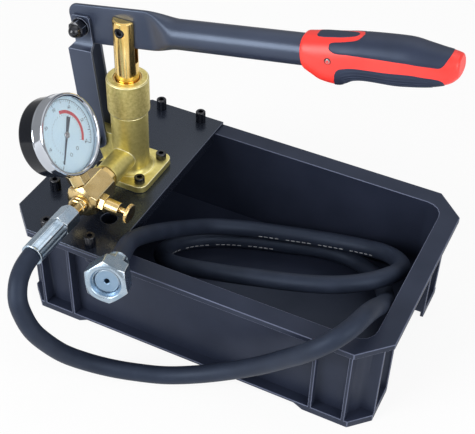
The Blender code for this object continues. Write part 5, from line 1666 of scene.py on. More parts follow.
    def numbers(self) -> BMesh:
        """Plain numbers round the scale, as thin printed shapes.

        Returns:
            The form.
        """
        forms = []
        for index in range(self.numbers_shown):
            angle = self.rest - self.sweep * index / (self.numbers_shown - 1)
            curve = bpy.data.curves.new("number", "FONT")
            curve.body = str(self.number_step * index)
            curve.size = self.number_size
            curve.align_x = "CENTER"
            curve.align_y = "CENTER"
            curve.extrude = 0.03 * MM
            text = stand("number", curve)
            form = as_form(evaluated(text))
            bpy.data.objects.remove(text)
            bpy.data.curves.remove(curve)
            x, y = self.number_radius * math.cos(angle), self.number_radius * math.sin(angle)
            moved(form, Matrix.Translation((x, y, self.dial_high + 0.04 * MM)))
            bmesh.ops.remove_doubles(form, verts=form.verts, dist=1e-6)
            forms.append(form)
        return joined(forms)

    def build_needle(self) -> None:
        """The pointer with its broad tail and the hub."""
        place = self.dial_frame()
        low = self.dial_high + 0.3 * MM
        high = low + 0.6 * MM
        half = [(self.tip, 0.35 * MM), (2.5 * MM, 0.9 * MM), (self.tail, 1.8 * MM)]
        edge = half + [(x, -y) for x, y in reversed(half)]
        blade = skin([[(x, y, z) for x, y in edge] for z in (low, high)])
        round_edges(blade, 0.12 * MM, 40 * DEG)
        moved(blade, Matrix.Rotation(self.rest, 4, "Z"))
        self.shop.piece(blade, "pointer_blade", DIAL_BLACK, Body.NEEDLE, ["gauge_needle"], place)
        arbor = outline(self.arbor, high)
        self.shop.piece(revolve(arbor, 48), "pointer_hub", PLAIN_STEEL, Body.NEEDLE, (), place)


# Linkage


@dataclass
class Linkage(SubAssembly):
    """Two straps, the ear pin and the fulcrum bolt with its domed nut."""

    cap_flats: float = 13.0 * MM
    cap_near: float = 6.9 * MM
    cap_height: float = 6.5 * MM
    dome: float = 6.5 * MM
    cap_bore: float = 4.25 * MM
    cap_bottom: float = 9.0 * MM
    cap_face_share: float = 0.95
    dome_share: float = 0.86
    dome_rise: float = 0.96
    dome_lift: float = 0.2 * MM
    dome_steps: int = 9
    # The straps, pins and rings: CAD node, name, finish, body, width of the rounded edges.
    plain: tuple = (
        ("ear_pin", "ear_pin_head", SCREW_STEEL, Body.FRAME, 0.3 * MM),
        ("ear_pin_nut", "ear_pin_lock_nut", SCREW_STEEL, Body.FRAME, 0.3 * MM),
        ("link_strap_front", "strap_front", LEVER_STEEL, Body.LINK, 0.45 * MM),
        ("link_strap_rear", "strap_rear", LEVER_STEEL, Body.LINK, 0.45 * MM),
        ("fulcrum_bolt", "fulcrum_bolt_head", SCREW_STEEL, Body.LINK, 0.35 * MM),
        ("fulcrum_washer", "fulcrum_ring", SCREW_STEEL, Body.LINK, 0.25 * MM),
    )

    def build(self) -> None:
        """Make the pieces from the ear upwards."""
        for row in self.plain:
            self.shop.dressed(*row)
        self.build_cap()

    def build_cap(self) -> None:
        """The domed nut in front of the fulcrum."""
        low, high = self.cap_near, self.cap_near + self.cap_height
        face, floor = self.cap_face_share * self.cap_flats / 2, low + self.cap_bottom
        before = [(0.0, floor), (self.cap_bore, floor), (self.cap_bore, low)]
        after = []
        for step in range(self.dome_steps):
            tilt = FULL_TURN / 4 * step / self.dome_steps
            rise = self.dome * math.sin(tilt) * self.dome_rise
            after.append((self.dome_share * face * math.cos(tilt), high + self.dome_lift + rise))
        after.append((0.0, high + self.dome))
        ends = ConeEnd(low, face), ConeEnd(high, face)
        form = hexagon_form(self.cap_flats, *ends, before, after, closed=False)
        round_edges(form, 0.25 * MM, 26 * DEG)
        place = toward(FULCRUM, (0, -1, 0))
        self.shop.piece(form, "cap_nut_domed", SCREW_STEEL, Body.LINK, ["fulcrum_cap_nut"], place)


# Lever and grip


@dataclass
class Lever(SubAssembly):
    """The lever: a tube pressed flat at the pump end."""

    pitch: float = 10.0 * DEG
    flat_height: float = 34.5 * MM
    flat_thickness: float = 4.0 * MM
    end: float = 11.2 * MM
    flat_to: float = 60.0 * MM
    round_from: float = 90.0 * MM
    tube_radius: float = 12.0 * MM
    tube_wall: float = 1.8 * MM
    length: float = 258.0 * MM
    # How the flat end is rounded: shares of its nose's length and of the full height.
    nose: float = 7.5 * MM
    nose_shares: tuple = ((0.0, 0.62), (0.06, 0.72), (0.2, 0.83), (0.45, 0.93), (0.75, 0.985), (1.0, 1.0))
    shoulder_steps: int = 24
    sides: int = 64

    def frame(self) -> Matrix:
        """The lever's frame: X along it from the fulcrum, Y across, Z up."""
        turn = Matrix.Rotation(-self.pitch, 4, "Y")
        return Matrix.Translation(FULCRUM) @ turn

    def section(self, reach: float, half_height: float, half_thick: float) -> list[Point]:
        """A cross-section that turns from a rounded bar into a circle.

        Args:
            reach: Its place along the lever.
            half_height: Half its height.
            half_thick: Half its thickness.

        Returns:
            Its points.
        """
        power = 1 - (1 - half_thick / half_height) * 3 / 4
        ring = []
        for step in range(self.sides):
            angle = FULL_TURN * step / self.sides
            across, rise = math.cos(angle), math.sin(angle)
            y = half_thick * math.copysign(abs(across) ** power, across)
            z = half_height * math.copysign(abs(rise) ** power, rise)
            ring.append((reach, y, z))
        return ring

    def build(self) -> None:
        """Loft the tube, with smooth shoulders where it turns round."""
        half, thick = self.flat_height / 2, self.flat_thickness / 2
        rings = []
        for share, size in self.nose_shares:
            rings.append(self.section(-self.end + self.nose * share, half * size, thick))
        for step in range(self.shoulder_steps + 1):
            share = step / self.shoulder_steps
            ease = share * share * (3 - 2 * share)
            reach = self.flat_to + (self.round_from - self.flat_to) * share
            high = half + (self.tube_radius - half) * ease
            wide = thick + (self.tube_radius - thick) * ease
            rings.append(self.section(reach, high, wide))
        rings.append(self.section(self.length, self.tube_radius, self.tube_radius))
        inner = self.tube_radius - self.tube_wall
        rings.append(self.section(self.length, inner, inner))
        rings.append(self.section(self.round_from + inner, inner, inner))
        form = skin(rings)
        round_edges(form, 0.3 * MM, 50 * DEG)
        self.shop.piece(form, "lever_pressed_tube", LEVER_STEEL, Body.LEVER, ["lever_tube"], self.frame())


@dataclass
class Grip(SubAssembly):
    """The red grip with its rubber pads, in the lever's frame."""

    place: Matrix
    start: float = 197.0 * MM
    length: float = 117.0 * MM
    tallest: float = 19.2 * MM
    half_width: float = 15.2 * MM
    squareness: float = 0.85
    proud: float = 0.35 * MM
    screw_share: float = 0.195
    screw_angle: float = 10.0 * DEG
    key_flats: float = 1.9 * MM
    # Outlines are (radius, height) points in millimetres.
    # The dark ring round the screw's head is painted shade for its recess in the shell.
    shade_ring: tuple = ((1.9, -0.8), (2.7, -0.8), (2.7, 0.15), (2.4, 0.25), (1.9, -0.1))
    head: tuple = (
        (0, -0.8), (0.95, -0.8), (0.95, 0.2), (1.6, 0.15), (1.85, -0.1), (1.85, -1.2), (0, -1.2),
    )
    end_sinks: tuple = ((0.0, 1.2), (0.006, 0.45), (0.016, 0.1), (0.985, 0.1), (0.994, 0.5), (1.0, 1.6))
    shell_rings: int = 70
    shell_sides: int = 80
    pad_rows: int = 44
    pad_columns: int = 12
    pad_depth: float = 0.8 * MM
    pad_brim: float = 0.25 * MM
    rib_radius: float = 0.38 * MM
    rib_angles: tuple = (-12, -22, -32, -42, -52, -62, -72)
    rib_shares: tuple = (0.275, 0.835)
    rib_steps: int = 40
    # Each row: share of the length; lower edge, upper edge and half width as shares of the largest.
    stations: tuple = (
        (0.000, -0.67, 0.73, 0.88), (0.051, -0.86, 0.75, 0.94), (0.111, -1.09, 0.80, 0.99),
        (0.205, -1.21, 0.84, 1.00), (0.250, -1.19, 0.85, 1.00), (0.282, -1.07, 0.86, 1.00),
        (0.330, -0.93, 0.88, 1.00), (0.410, -0.87, 0.90, 1.00), (0.598, -0.92, 0.92, 1.00),
        (0.700, -0.88, 0.89, 0.99), (0.795, -0.82, 0.76, 0.93), (0.880, -0.73, 0.65, 0.83),
        (0.945, -0.58, 0.58, 0.74), (0.980, -0.40, 0.52, 0.68), (1.000, -0.27, 0.49, 0.61),
    )
    # Each row: share of the length, lower edge and upper edge in degrees, on the front side.
    top_pad: tuple = (
        (0.195, 41, 51), (0.200, 37, 54), (0.215, 32, 57), (0.235, 28, 59), (0.270, 25, 60),
        (0.323, 22, 62.5), (0.350, 20.5, 65), (0.375, 19, 69), (0.388, 18.5, 76), (0.396, 18, 90),
        (0.430, 17, 90), (0.537, 16, 90), (0.640, 14.5, 90), (0.740, 14, 90), (0.838, 15, 90),
        (0.885, 14, 90), (0.903, 17, 90), (0.920, 29, 90), (0.936, 50, 90), (0.949, 87, 90),
    )
    thumb_pad: tuple = (
        (0.094, 84, 90), (0.101, 77, 90), (0.115, 73, 90), (0.150, 71, 90), (0.250, 73.5, 90),
        (0.310, 76.5, 90), (0.345, 80, 90), (0.360, 84.5, 90), (0.368, 89, 90),
    )
    finger_pad: tuple = (
        (0.204, -80, -72), (0.212, -81, -52), (0.222, -82, -28), (0.233, -82, -11),
        (0.245, -82, -3.5), (0.260, -82, -0.5), (0.320, -82, -2), (0.427, -82, -4),
        (0.535, -82, -4), (0.640, -81, -3), (0.740, -80, -3), (0.838, -78, -7),
        (0.880, -74, -12), (0.900, -68, -19), (0.910, -60, -30), (0.915, -52, -42),
    )

    def measure(self, share: float) -> tuple[float, float, float]:
        """Measure the grip on a smooth curve through its stations.

        Args:
            share: Share of the length.

        Returns:
            Middle height, half height and half width there.
        """
        rows = self.stations
        index = max(k for k in range(len(rows) - 1) if share >= rows[k][0] or k == 0)
        first, second = rows[index], rows[index + 1]
        before = rows[max(index - 1, 0)]
        after = rows[min(index + 2, len(rows) - 1)]
        run = second[0] - first[0]
        part = min(max((share - first[0]) / run, 0.0), 1.0)
        square, cube = part * part, part**3
        values = []
        for k in (1, 2, 3):
            leave = arrive = second[k] - first[k]
            if before is not first:
                leave = (second[k] - before[k]) / (second[0] - before[0]) * run
            if after is not second:
                arrive = (after[k] - first[k]) / (after[0] - first[0]) * run
            values.append(
                (2 * cube - 3 * square + 1) * first[k] + (cube - 2 * square + part) * leave
                + (3 * square - 2 * cube) * second[k] + (cube - square) * arrive
            )
        low, high, wide = values
        return self.tallest * (low + high) / 2, self.tallest * (high - low) / 2, self.half_width * wide

    def point(self, share: float, angle: float, lift: float) -> Point:
        """A point on the grip's skin.

        Args:
            share: Share of the length.
            angle: Zero is the front side and 90 degrees is up.
            lift: Height over the skin.

        Returns:
            The point in the lever's frame.
        """
        middle, half, wide = self.measure(share)
        across, rise = math.cos(angle), math.sin(angle)
        y = -(wide + lift) * math.copysign(abs(across) ** self.squareness, across)
        z = middle + (half + lift) * math.copysign(abs(rise) ** self.squareness, rise)
        return (self.start + share * self.length, y, z)

    def build(self) -> None:
        """Make the shell, the pads and the screw."""
        self.build_shell()
        for label, table in (("thumb", self.thumb_pad), ("top", self.top_pad)):
            form = joined([self.pad(table, 1), self.pad(table, -1)])
            bmesh.ops.remove_doubles(form, verts=form.verts, dist=1e-5)
            inner = [face for face in form.faces if all(abs(v.co.y) < 1e-5 for v in face.verts)]
            bmesh.ops.delete(form, geom=inner, context="FACES_ONLY")
            bmesh.ops.recalc_face_normals(form, faces=form.faces)
            node = f"grip_{label}_pad"
            self.shop.piece(form, f"pad_{label}", PAD_RUBBER, Body.LEVER, [node], self.place)
        for label, side in (("front", 1), ("rear", -1)):
            form, node = self.pad(self.finger_pad, side), f"grip_finger_pad_{label}"
            self.shop.piece(form, f"pad_finger_{label}", PAD_RUBBER, Body.LEVER, [node], self.place)
        self.build_ribs()
        self.build_screw()

    def build_screw(self) -> None:
        """The small screw with its hexagon socket, ringed by a dark collar that paints the shade of its
        recess in the shell.
        """
        spot = self.place @ toward(self.point(self.screw_share, self.screw_angle, 0.0), (0, -1, 0))
        form = revolve(outline(self.shade_ring), 48, closed=True)
        self.shop.piece(form, "grip_screw_shade_ring", SEAL_RUBBER, Body.LEVER, (), spot)
        form = revolve(outline(self.head), 48, reach=partial(socket_reach, self.key_flats))
        self.shop.piece(form, "grip_screw_head", PLAIN_STEEL, Body.LEVER, ["grip_screw"], spot)

    def build_shell(self) -> None:
        """The red shell with its rounded ends."""
        sinks = dict(self.end_sinks)
        count, sides = self.shell_rings, self.shell_sides
        shares = sorted([*sinks, *(0.03 + 0.94 * step / count for step in range(count + 1))])
        angles = [FULL_TURN * step / sides for step in range(sides)]
        rings = [[self.point(s, angle, -sinks.get(s, 0.0) * MM) for angle in angles] for s in shares]
        self.shop.piece(skin(rings), "grip_moulding", GRIP_RED, Body.LEVER, ["grip_shell"], self.place)

    def turned_angle(self, angle: float, side: int) -> float:
        """An angle on the front side, or the same one on the rear, in radians."""
        return angle * DEG if side > 0 else math.pi - angle * DEG

    def pad(self, table: tuple, side: int) -> BMesh:
        """Half of a pad, with rounded edges, following the skin.

        Args:
            table: (share, lower edge, upper edge) rows.
            side: 1 for the front side, -1 for the rear.

        Returns:
            The form.
        """
        rings = []
        first, last = table[0][0], table[-1][0]
        for step in range(self.pad_rows + 1):
            even = step / self.pad_rows
            ease = 0.5 - 0.5 * math.cos(math.pi * even)
            share = first + (last - first) * (0.5 * ease + 0.5 * even)
            low, high = self.edges(table, share)
            brim = min(1.0, min(share - first, last - share) * self.length / (1.2 * MM))
            outer, inner = [], []
            for row in range(self.pad_columns + 1):
                angle = low + (high - low) * row / self.pad_columns
                margin = min(angle - low, (high - angle) if high < 89.5 else 90.0) * DEG * self.half_width
                rim = min(1.0, margin / (1.1 * MM))
                swell = math.sqrt(max(0.0, 1 - (1 - min(rim, brim)) ** 2))
                around = self.turned_angle(angle, side)
                lift = -self.pad_brim + (self.proud + self.pad_brim) * swell
                outer.append(self.point(share, around, lift))
                inner.append(self.point(share, around, -self.pad_depth))
            rings.append(outer + inner[::-1])
        return skin(rings)

    def edges(self, table: tuple, share: float) -> tuple[float, float]:
        """Find a pad's edges.

        Args:
            table: (share, lower edge, upper edge) rows.
            share: Share of the length.

        Returns:
            Its lower and its upper edge there, in degrees.
        """
        for first, second in zip(table, table[1:]):
            if share <= second[0]:
                break
        part = (share - first[0]) / (second[0] - first[0])
        return tuple(first[k] + (second[k] - first[k]) * part for k in (1, 2))

    def build_ribs(self) -> None:
        """Fine ribs along both finger pads, swept by a tree along lines on the skin."""
        tree = Recipe("pad_ribs", {"Rib Radius": self.rib_radius})
        tree.sweep(tree.curve(), tree.value("Rib Radius"), 8, self.shop.paint(PAD_RUBBER))
        begin, end = self.rib_shares
        for label, side in (("front", 1), ("rear", -1)):
            points: list[Point] = []
            lines: list[tuple[int, int]] = []
            for angle in self.rib_angles:
                around, base = self.turned_angle(angle, side), len(points)
                for step in range(self.rib_steps + 1):
                    share = begin + (end - begin) * step / self.rib_steps
                    points.append(self.point(share, around, self.proud - 0.1 * MM))
                lines += [(k, k + 1) for k in range(base, len(points) - 1)]
            seed = bpy.data.meshes.new("seed")
            seed.from_pydata(points, lines, [])
            mesh = tree.grow(seed, {"Rib Radius": self.rib_radius})
            self.shop.piece(mesh, f"pad_ribs_{label}", PAD_RUBBER, Body.LEVER, (), self.place)


# Hose


@dataclass
class Hose(SubAssembly):
    """The pressure hose from the adapter, round the tank and back to its far fitting."""

    radius: float = 7.5 * MM
    length: float = 1.459
    ferrule_radius: float = 9.25 * MM
    exit: Point = (PUMP_X, -123.0 * MM, OUTLET_Z)
    end_axis: Point = (0.259, -0.935, 0.242)
    lay_turn: float = 164.0 * DEG
    sides: int = 32
    dash_inset: int = 8
    crimp_depth: float = 0.65 * MM
    crimps: int = 8
    lip: float = 2.2 * MM
    swivel_flats: float = 32.0 * MM
    swivel_start: float = 9.4 * DEG
    swivel_steps: int = 144
    thread_low: float = 25.5 * MM
    # Outlines are (radius, height) points in millimetres.
    nipple: tuple = (
        (6.3, 18.6), (6.3, 22.6), (9.6, 22.6), (10.2, 23.2), (10.2, 30.2), (9.2, 31.2), (3.0, 31.5),
        (2.4, 31.3), (1.9, 30.6), (1.9, 18.6),
    )
    swivel_mouth: tuple = ((12.9, 35.4), (12.3, 34.9), (10.9, 33.0), (10.9, 21.7), (6.6, 21.7))
    # The centreline's points in millimetres.
    route: tuple = (
        (-109, -147.9, 120.6), (-107.6, -161, 119.3), (-104.4, -173, 115), (-100, -181.5, 105.5),
        (-95.5, -183.2, 92), (-90, -181.5, 76.5), (-84, -174.5, 59), (-76, -165, 41),
        (-65, -153, 25), (-49, -141.5, 13.5), (-30, -132.5, 8.8), (-6, -124, 9),
        (20, -117, 17), (47, -113, 32), (74, -112.5, 53), (96, -115, 75.5),
        (110.5, -117.5, 91.5), (122.5, -117, 105), (133, -110.5, 114), (140, -98.5, 118),
        (143.5, -82, 116), (144.7, -63, 106), (144.5, -40, 88.5), (140.5, -11, 65),
        (130, 19, 45), (112, 50, 28), (84, 68, 19.5), (53, 67.5, 18.3),
        (21, 58, 18.3), (-11, 48, 18.3), (-37, 36.5, 18.5), (-56, 21, 21),
        (-66.5, 2.5, 26), (-67.5, -15, 33), (-58.5, -31.5, 42), (-36, -42, 52),
        (3, -44, 63), (40, -43.5, 73), (75, -40, 80.5), (104, -32.5, 85.5),
        (125.5, -18, 86.5), (138, 2, 82), (140.5, 24, 71.5), (132.5, 44, 60),
        (115.5, 57.5, 51), (89, 64, 42), (54, 62.5, 36.3), (21, 55, 35),
        (-12, 44, 36), (-39.5, 24.5, 43), (-53, -3, 57), (-58.5, -34, 76),
        (-60, -60, 92), (-59.8, -78, 101.7), (-57.6, -91.3, 106.9), (-54.4, -102.5, 109.8),
        (-50.8, -115.6, 113.2),
    )

    path: list[Vector] = field(init=False)
    frames: list[tuple[Vector, Vector]] = field(init=False)

    def __post_init__(self) -> None:
        """Work out the centreline and the directions across it."""
        self.path = self.curve()
        self.frames = self.carried()

    def curve(self) -> list[Vector]:
        """Close points on a smooth curve through the route, square to both fittings.

        Returns:
            The points in metres.
        """
        points = [MM * Vector(spot) for spot in self.route]
        direction = Vector(self.end_axis).normalized()
        back, on = self.radius * Vector((0, 1, 0)), self.radius * direction
        guides = [points[0] + back, *points, points[-1] + on]
        fine = []
        for index in range(1, len(guides) - 2):
            first, second, third, fourth = guides[index - 1 : index + 3]
            for step in range(8):
                part = step / 8
                linear = (third - first) / 2
                square = first - 5 * second / 2 + 2 * third - fourth / 2
                cube = (fourth - first) / 2 + 3 * (second - third) / 2
                fine.append(second + linear * part + square * part**2 + cube * part**3)
        fine.append(points[-1])
        return fine

    def carried(self) -> list[tuple[Vector, Vector]]:
        """Side directions that are carried along the path without twist.

        Returns:
            Two unit vectors across the path at every point.
        """
        path = self.path
        tangents = []
        for index, _ in enumerate(path):
            before, after = path[max(index - 1, 0)], path[min(index + 1, len(path) - 1)]
            tangents.append((after - before).normalized())
        tangents[0] = Vector((0, -1, 0))
        tangents[-1] = Vector(self.end_axis).normalized()
        side = Vector((0, 0, 1))
        result = []
        for index, tangent in enumerate(tangents):
            if index:
                side = tangents[index - 1].rotation_difference(tangent) @ side
            side = (side - side.dot(tangent) * tangent).normalized()
            result.append((side.copy(), tangent.cross(side)))
        return result

    def build(self) -> None:
        tube = self.build_tube()
        fittings = [self.build_dashes(), *self.build_inlet(), *self.build_end()]

    def build_tube(self) -> Object:
        """The hose's tube with a UV map along its run.

        Returns:
            The piece.
        """
        steps = self.sides
        angles = [FULL_TURN * step / steps for step in range(steps)]
        rings = []
        for point, (side, up) in zip(self.path, self.frames):
            rings.append([point + self.radius * (math.cos(a) * side + math.sin(a) * up) for a in angles])
        form = skin(rings)
        strip = form.loops.layers.uv.new("run")
        form.verts.index_update()
        runs = [0.0]
        for first, second in zip(self.path, self.path[1:]):
            runs.append(runs[-1] + (second - first).length)
        around = FULL_TURN * self.radius
        for face in form.faces:
            spots = [divmod(loop.vert.index, steps) for loop in face.loops]
            columns = [column for _, column in spots]
            seam = len(spots) == 4 and max(columns) == steps - 1 and min(columns) == 0
            for loop, (row, column) in zip(face.loops, spots):
                share = 1.0 if seam and column == 0 else column / steps
                loop[strip].uv = (runs[row] / around, share)
        return self.shop.piece(form, "hose_cover", HOSE_RUBBER, Body.FRAME, ["hose"])

    def build_dashes(self) -> Object:
        """Plain dashes in a line along the hose.

        Returns:
            The piece.
        """
        tree = Recipe(
            "lay_line",
            {
                "Pitch": 5.0 * MM, "Dash": 3.2 * MM, "Width": 1.0 * MM, "Thickness": 0.12 * MM,
                "Repeat": 81, "Printed": 22, "Shift": 32,
            },
        )
        inputs = {"Curve": tree.curve(), "Length": tree.value("Pitch")}
        paced = tree.add("GeometryNodeResampleCurve", {"mode": "LENGTH"}, inputs)
        spots = tree.add("GeometryNodeCurveToPoints", {"mode": "EVALUATED"}, {"Curve": paced.outputs[0]})
        settings = {"data_type": "FLOAT_VECTOR"}
        out = tree.add("GeometryNodeInputNamedAttribute", settings, {"Name": "out"})
        inputs = {"Vector": socket_of(spots.outputs, "Tangent")}
        along = tree.add("FunctionNodeAlignRotationToVector", {"axis": "X"}, inputs)
        inputs = {"Rotation": along.outputs[0], "Vector": socket_of(out.outputs, "Attribute")}
        upright = tree.add("FunctionNodeAlignRotationToVector", {"axis": "Z", "pivot_axis": "X"}, inputs)
        turn = (tree.index() + tree.value("Shift")) % tree.value("Repeat")
        inputs = {
            "Points": spots.outputs[0], "Rotation": upright.outputs[0],
            "Selection": (turn < tree.value("Printed")) * ((turn % 6.0) < 5.0),
        }
        dash = tree.block(tree.value("Dash"), tree.value("Width"), tree.value("Thickness"))
        tree.scatter(dash, inputs, self.shop.paint(LAY_INK))
        outs = [math.cos(self.lay_turn) * side + math.sin(self.lay_turn) * up for side, up in self.frames]
        inset = self.dash_inset
        line = [point + self.radius * out for point, out in zip(self.path, outs)][inset:-inset]
        seed = points_mesh(line, chain=True)
        store = seed.attributes.new("out", "FLOAT_VECTOR", "POINT")
        for item, value in zip(store.data, outs[inset:-inset]):
            item.vector = value
        mesh = tree.grow(seed, {"Pitch": 5.0 * MM})
        return self.shop.piece(mesh, "hose_lay_dashes", LAY_INK, Body.FRAME)

    def crimp(self, low: float, high: float, angle: float, reach: float, height: float) -> float:
        """Press a ferrule's outline into eight lands with ridges between them.

        Args:
            low: Where the ferrule starts.
            high: Where it ends.
            angle: The angle round it.
            reach: The plain radius.
            height: The height of the point.

        Returns:
            The radius.
        """
        if reach < self.ferrule_radius or not low + self.lip / 2 < height < high - self.lip / 2:
            return reach
        ridge = max(0.0, math.cos(self.crimps * angle)) ** 3
        return reach - self.crimp_depth * (1 - ridge)

    def ferrule(self, low: float, high: float) -> BMesh:
        """A crimped sleeve with pressed flutes between plain ends.

        Args:
            low: Where it starts along Z.
            high: Where it ends.

        Returns:
            The form.
        """
        radius, bore, lip, length = self.ferrule_radius, 3.0 * MM, self.lip, high - low
        profile = [
            (bore, low), (radius - 0.8 * MM, low), (radius, low + 0.5 * MM), (radius, low + lip),
            (radius, low + lip * 1.5), (radius, low + length / 3), (radius, low + 2 * length / 3),
            (radius, high - lip * 1.5), (radius, high - lip), (radius, high - 0.5 * MM),
            (radius - 0.8 * MM, high), (bore, high),
        ]
        form = revolve(profile, 128, True, partial(self.crimp, low, high))
        round_edges(form, 0.15 * MM, 35 * DEG)
        return form

    def build_inlet(self) -> list[Object]:
        """The zinc nut on the adapter and the ferrule behind it.

        Returns:
            The pieces.
        """
        x, _, z = self.exit
        place = toward((x, 0, z), (0, -1, 0))
        form = nut_form(16.5 * MM, 91.3 * MM, 110.3 * MM, 5.3 * MM)
        round_edges(form, 0.2 * MM, 25 * DEG)
        nut = self.shop.piece(form, "inlet_nut_hexagon", ZINC_PLATE, Body.FRAME, ["hose_inlet_nut"], place)
        form = self.ferrule(110.6 * MM, 147.6 * MM)
        name = "inlet_ferrule_crimped"
        return [nut, self.shop.piece(form, name, ZINC_PLATE, Body.FRAME, ["hose_inlet_ferrule"], place)]

    def build_end(self) -> list[Object]:
        """Ferrule, nipple and swivel nut of the far end.

        Returns:
            The pieces.
        """
        direction = Vector(self.end_axis).normalized()
        side = Vector((0, 0, 1)).cross(direction).normalized()
        turn = Matrix((side, direction.cross(side), direction)).transposed().to_4x4()
        place = Matrix.Translation(MM * Vector(self.route[-1])) @ turn
        form = self.ferrule(0.3 * MM, 18.3 * MM)
        name = "end_ferrule_crimped"
        pieces = [self.shop.piece(form, name, ZINC_PLATE, Body.FRAME, ["hose_end_ferrule"], place)]
        form = revolve(outline(self.nipple), closed=True)
        round_edges(form, 0.2 * MM, 30 * DEG)
        name = "end_nipple_turned"
        pieces.append(self.shop.piece(form, name, NIPPLE_ZINC, Body.FRAME, ["hose_end_nipple"], place))
        pieces.append(self.swivel(place))
        tree = thread_recipe(self.shop.paint(ZINC_PLATE))
        values = {"Radius": 10.75 * MM, "Pitch": 1.3 * MM, "Turns": 6.0, "Depth": 0.32 * MM}
        mesh, place = tree.grow(points_mesh(), values), raised(place, self.thread_low)
        pieces.append(self.shop.piece(mesh, "swivel_thread", ZINC_PLATE, Body.SWIVEL, (), place))
        return pieces

    def swivel(self, place: Matrix) -> Object:
        """The big nut, with turned corners and a bevelled mouth.

        Args:
            place: The far fitting's frame.

        Returns:
            The piece.
        """
        flats, back, front, neck = self.swivel_flats, 18.9 * MM, 35.4 * MM, 6.6 * MM
        low, high = ConeEnd(back, 0.90 * flats / 2, 0.5), ConeEnd(front, 0.94 * flats / 2, 0.55)
        mouth, start, steps = outline(self.swivel_mouth), self.swivel_start, self.swivel_steps
        form = hexagon_form(flats, low, high, [(neck, back)], mouth, start, steps)
        round_edges(form, 0.35 * MM, 24 * DEG)
        name = "swivel_nut_hexagon"
        return self.shop.piece(form, name, ZINC_PLATE, Body.SWIVEL, ["swivel_nut"], place)


# Studio


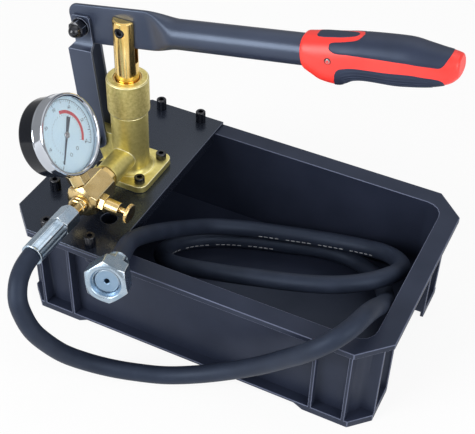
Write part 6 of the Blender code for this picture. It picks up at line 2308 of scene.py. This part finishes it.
@dataclass
class Studio:
    """Camera at the photograph's viewpoint, pale floor, soft lamps and white surroundings."""

    eye: Point = (0.27937, -0.61050, 0.68453)
    right: Point = (0.89731, 0.44056, 0.02716)
    up: Point = (-0.31054, 0.58636, 0.74816)
    forward: Point = (-0.31368, 0.67977, -0.66296)
    lens: float = 79.12
    ambient: float = 0.34
    dimmed: float = 0.40
    floor_white: float = 0.90
    floor_mirrored: float = 0.60
    floor_size: float = 3.0
    floor_drop: float = 0.2 * MM
    floor_tones: tuple = ((0.90, 0.90, 0.90), (0.93, 0.93, 0.93))
    sky_from: float = 0.45
    sky_to: float = 0.85
    target: Point = (0.0, 0.0, 0.12)
    # Each lamp: place, size in metres, power in watts.
    lamps: tuple = (
        ((-0.85, -1.40, 0.80), 1.0, 25.0), ((1.30, -0.60, 0.95), 1.2, 15.0), ((-0.10, 0.90, 1.60), 1.4, 4.5),
    )

    def build(self) -> None:
        """Set up the studio."""
        self.build_camera()
        self.build_lamps()
        self.build_world()
        self.build_floor()
        bpy.context.scene.view_settings.view_transform = "Standard"

    def build_camera(self) -> None:
        """The camera."""
        data = bpy.data.cameras.new("camera")
        data.lens = self.lens
        data.sensor_width = 36.0
        data.dof.use_dof = False
        camera = stand("camera", data)
        back = -Vector(self.forward)
        turn = Matrix((Vector(self.right), Vector(self.up), back)).transposed().to_4x4()
        camera.matrix_world = Matrix.Translation(self.eye) @ turn
        bpy.context.scene.camera = camera

    def build_lamps(self) -> None:
        """Soft square lamps that face the pump."""
        for index, (place, size, power) in enumerate(self.lamps):
            data = bpy.data.lights.new(f"lamp_{index}", "AREA")
            data.size = size
            data.energy = power
            lamp = stand(f"lamp_{index}", data)
            lamp.location = place
            sight = Vector(self.target) - Vector(place)
            lamp.rotation_euler = sight.to_track_quat("-Z", "Y").to_euler()

    def build_world(self) -> None:
        """White for camera, gloss and glass, and softer for the light that falls."""
        world = bpy.data.worlds.new("surroundings")
        world.use_nodes = True
        bpy.context.scene.world = world
        tree = world.node_tree
        tree.nodes.clear()
        path = add_node(tree, "ShaderNodeLightPath")
        seen = Term(tree, path.outputs["Is Camera Ray"])
        for label in ("Is Glossy Ray", "Is Transmission Ray"):
            seen = seen.math("MAXIMUM", seen, Term(tree, path.outputs[label]))
        direction = add_node(tree, "ShaderNodeTexCoord").outputs["Generated"]
        split = add_node(tree, "ShaderNodeSeparateXYZ", inputs={"Vector": direction})
        rise = Term(tree, split.outputs["Z"])
        settings = {"interpolation_type": "SMOOTHSTEP"}
        inputs = {
            "Value": rise, "From Min": self.sky_from, "From Max": self.sky_to, "To Min": self.dimmed,
            "To Max": 1.0,
        }
        sky = Term(tree, socket_of(add_node(tree, "ShaderNodeMapRange", settings, inputs).outputs, "Result"))
        camera = Term(tree, path.outputs["Is Camera Ray"])
        bright = sky.math("MAXIMUM", sky, camera)
        strength = self.ambient + (bright - self.ambient) * seen
        inputs = {"Color": (1.0, 1.0, 1.0), "Strength": strength}
        ground = add_node(tree, "ShaderNodeBackground", inputs=inputs)
        add_node(tree, "ShaderNodeOutputWorld", inputs={"Surface": ground.outputs[0]})

    def build_floor(self) -> None:
        """The pale floor, which keeps the pump's shadow."""
        half = self.floor_size / 2
        mesh = bpy.data.meshes.new("floor")
        corners = [(-half, -half, 0), (half, -half, 0), (half, half, 0), (-half, half, 0)]
        mesh.from_pydata(corners, [], [(0, 1, 2, 3)])
        mesh.transform(Matrix.Translation((0, 0, -self.floor_drop)))
        floor = stand("floor", mesh)
        shader = Shader("floor_paper")
        cloud = shader.noise(shader.place(), 3.0)
        tone = shader.mix(cloud, *self.floor_tones)
        path = shader.add("ShaderNodeLightPath")
        seen = Term(shader.tree, path.outputs["Is Camera Ray"]) * self.floor_white
        mirrored = Term(shader.tree, path.outputs["Is Glossy Ray"]) * self.floor_mirrored
        plain = shader.add("ShaderNodeBsdfDiffuse", inputs={"Color": tone})
        glow = shader.add("ShaderNodeEmission", inputs={"Color": (1.0, 1.0, 1.0), "Strength": 1.0})
        share = seen.math("MAXIMUM", seen, mirrored)
        inputs = {"Fac": share, "Shader": plain.outputs[0], "Shader_001": glow.outputs[0]}
        blend = shader.add("ShaderNodeMixShader", inputs=inputs)
        shader.add("ShaderNodeOutputMaterial", inputs={"Surface": blend.outputs[0]})
        mesh.materials.append(shader.material)


def main() -> None:
    """Build the studio and every sub-assembly."""
    logging.basicConfig(level=logging.INFO, format="%(message)s")
    Studio().build()
    shop = Workshop()
    lever = Lever(shop)
    parts = [kind(shop) for kind in (Hose, Tank, SocketScrews, Pump, Manifold, Gauge, Linkage)]
    for part in (*parts, lever, Grip(shop, lever.frame())):
        LOG.info("sub-assembly %s", type(part).__name__)
        part.build()
    LOG.info("%d pieces", shop.count)


if __name__ == "__main__":
    main()
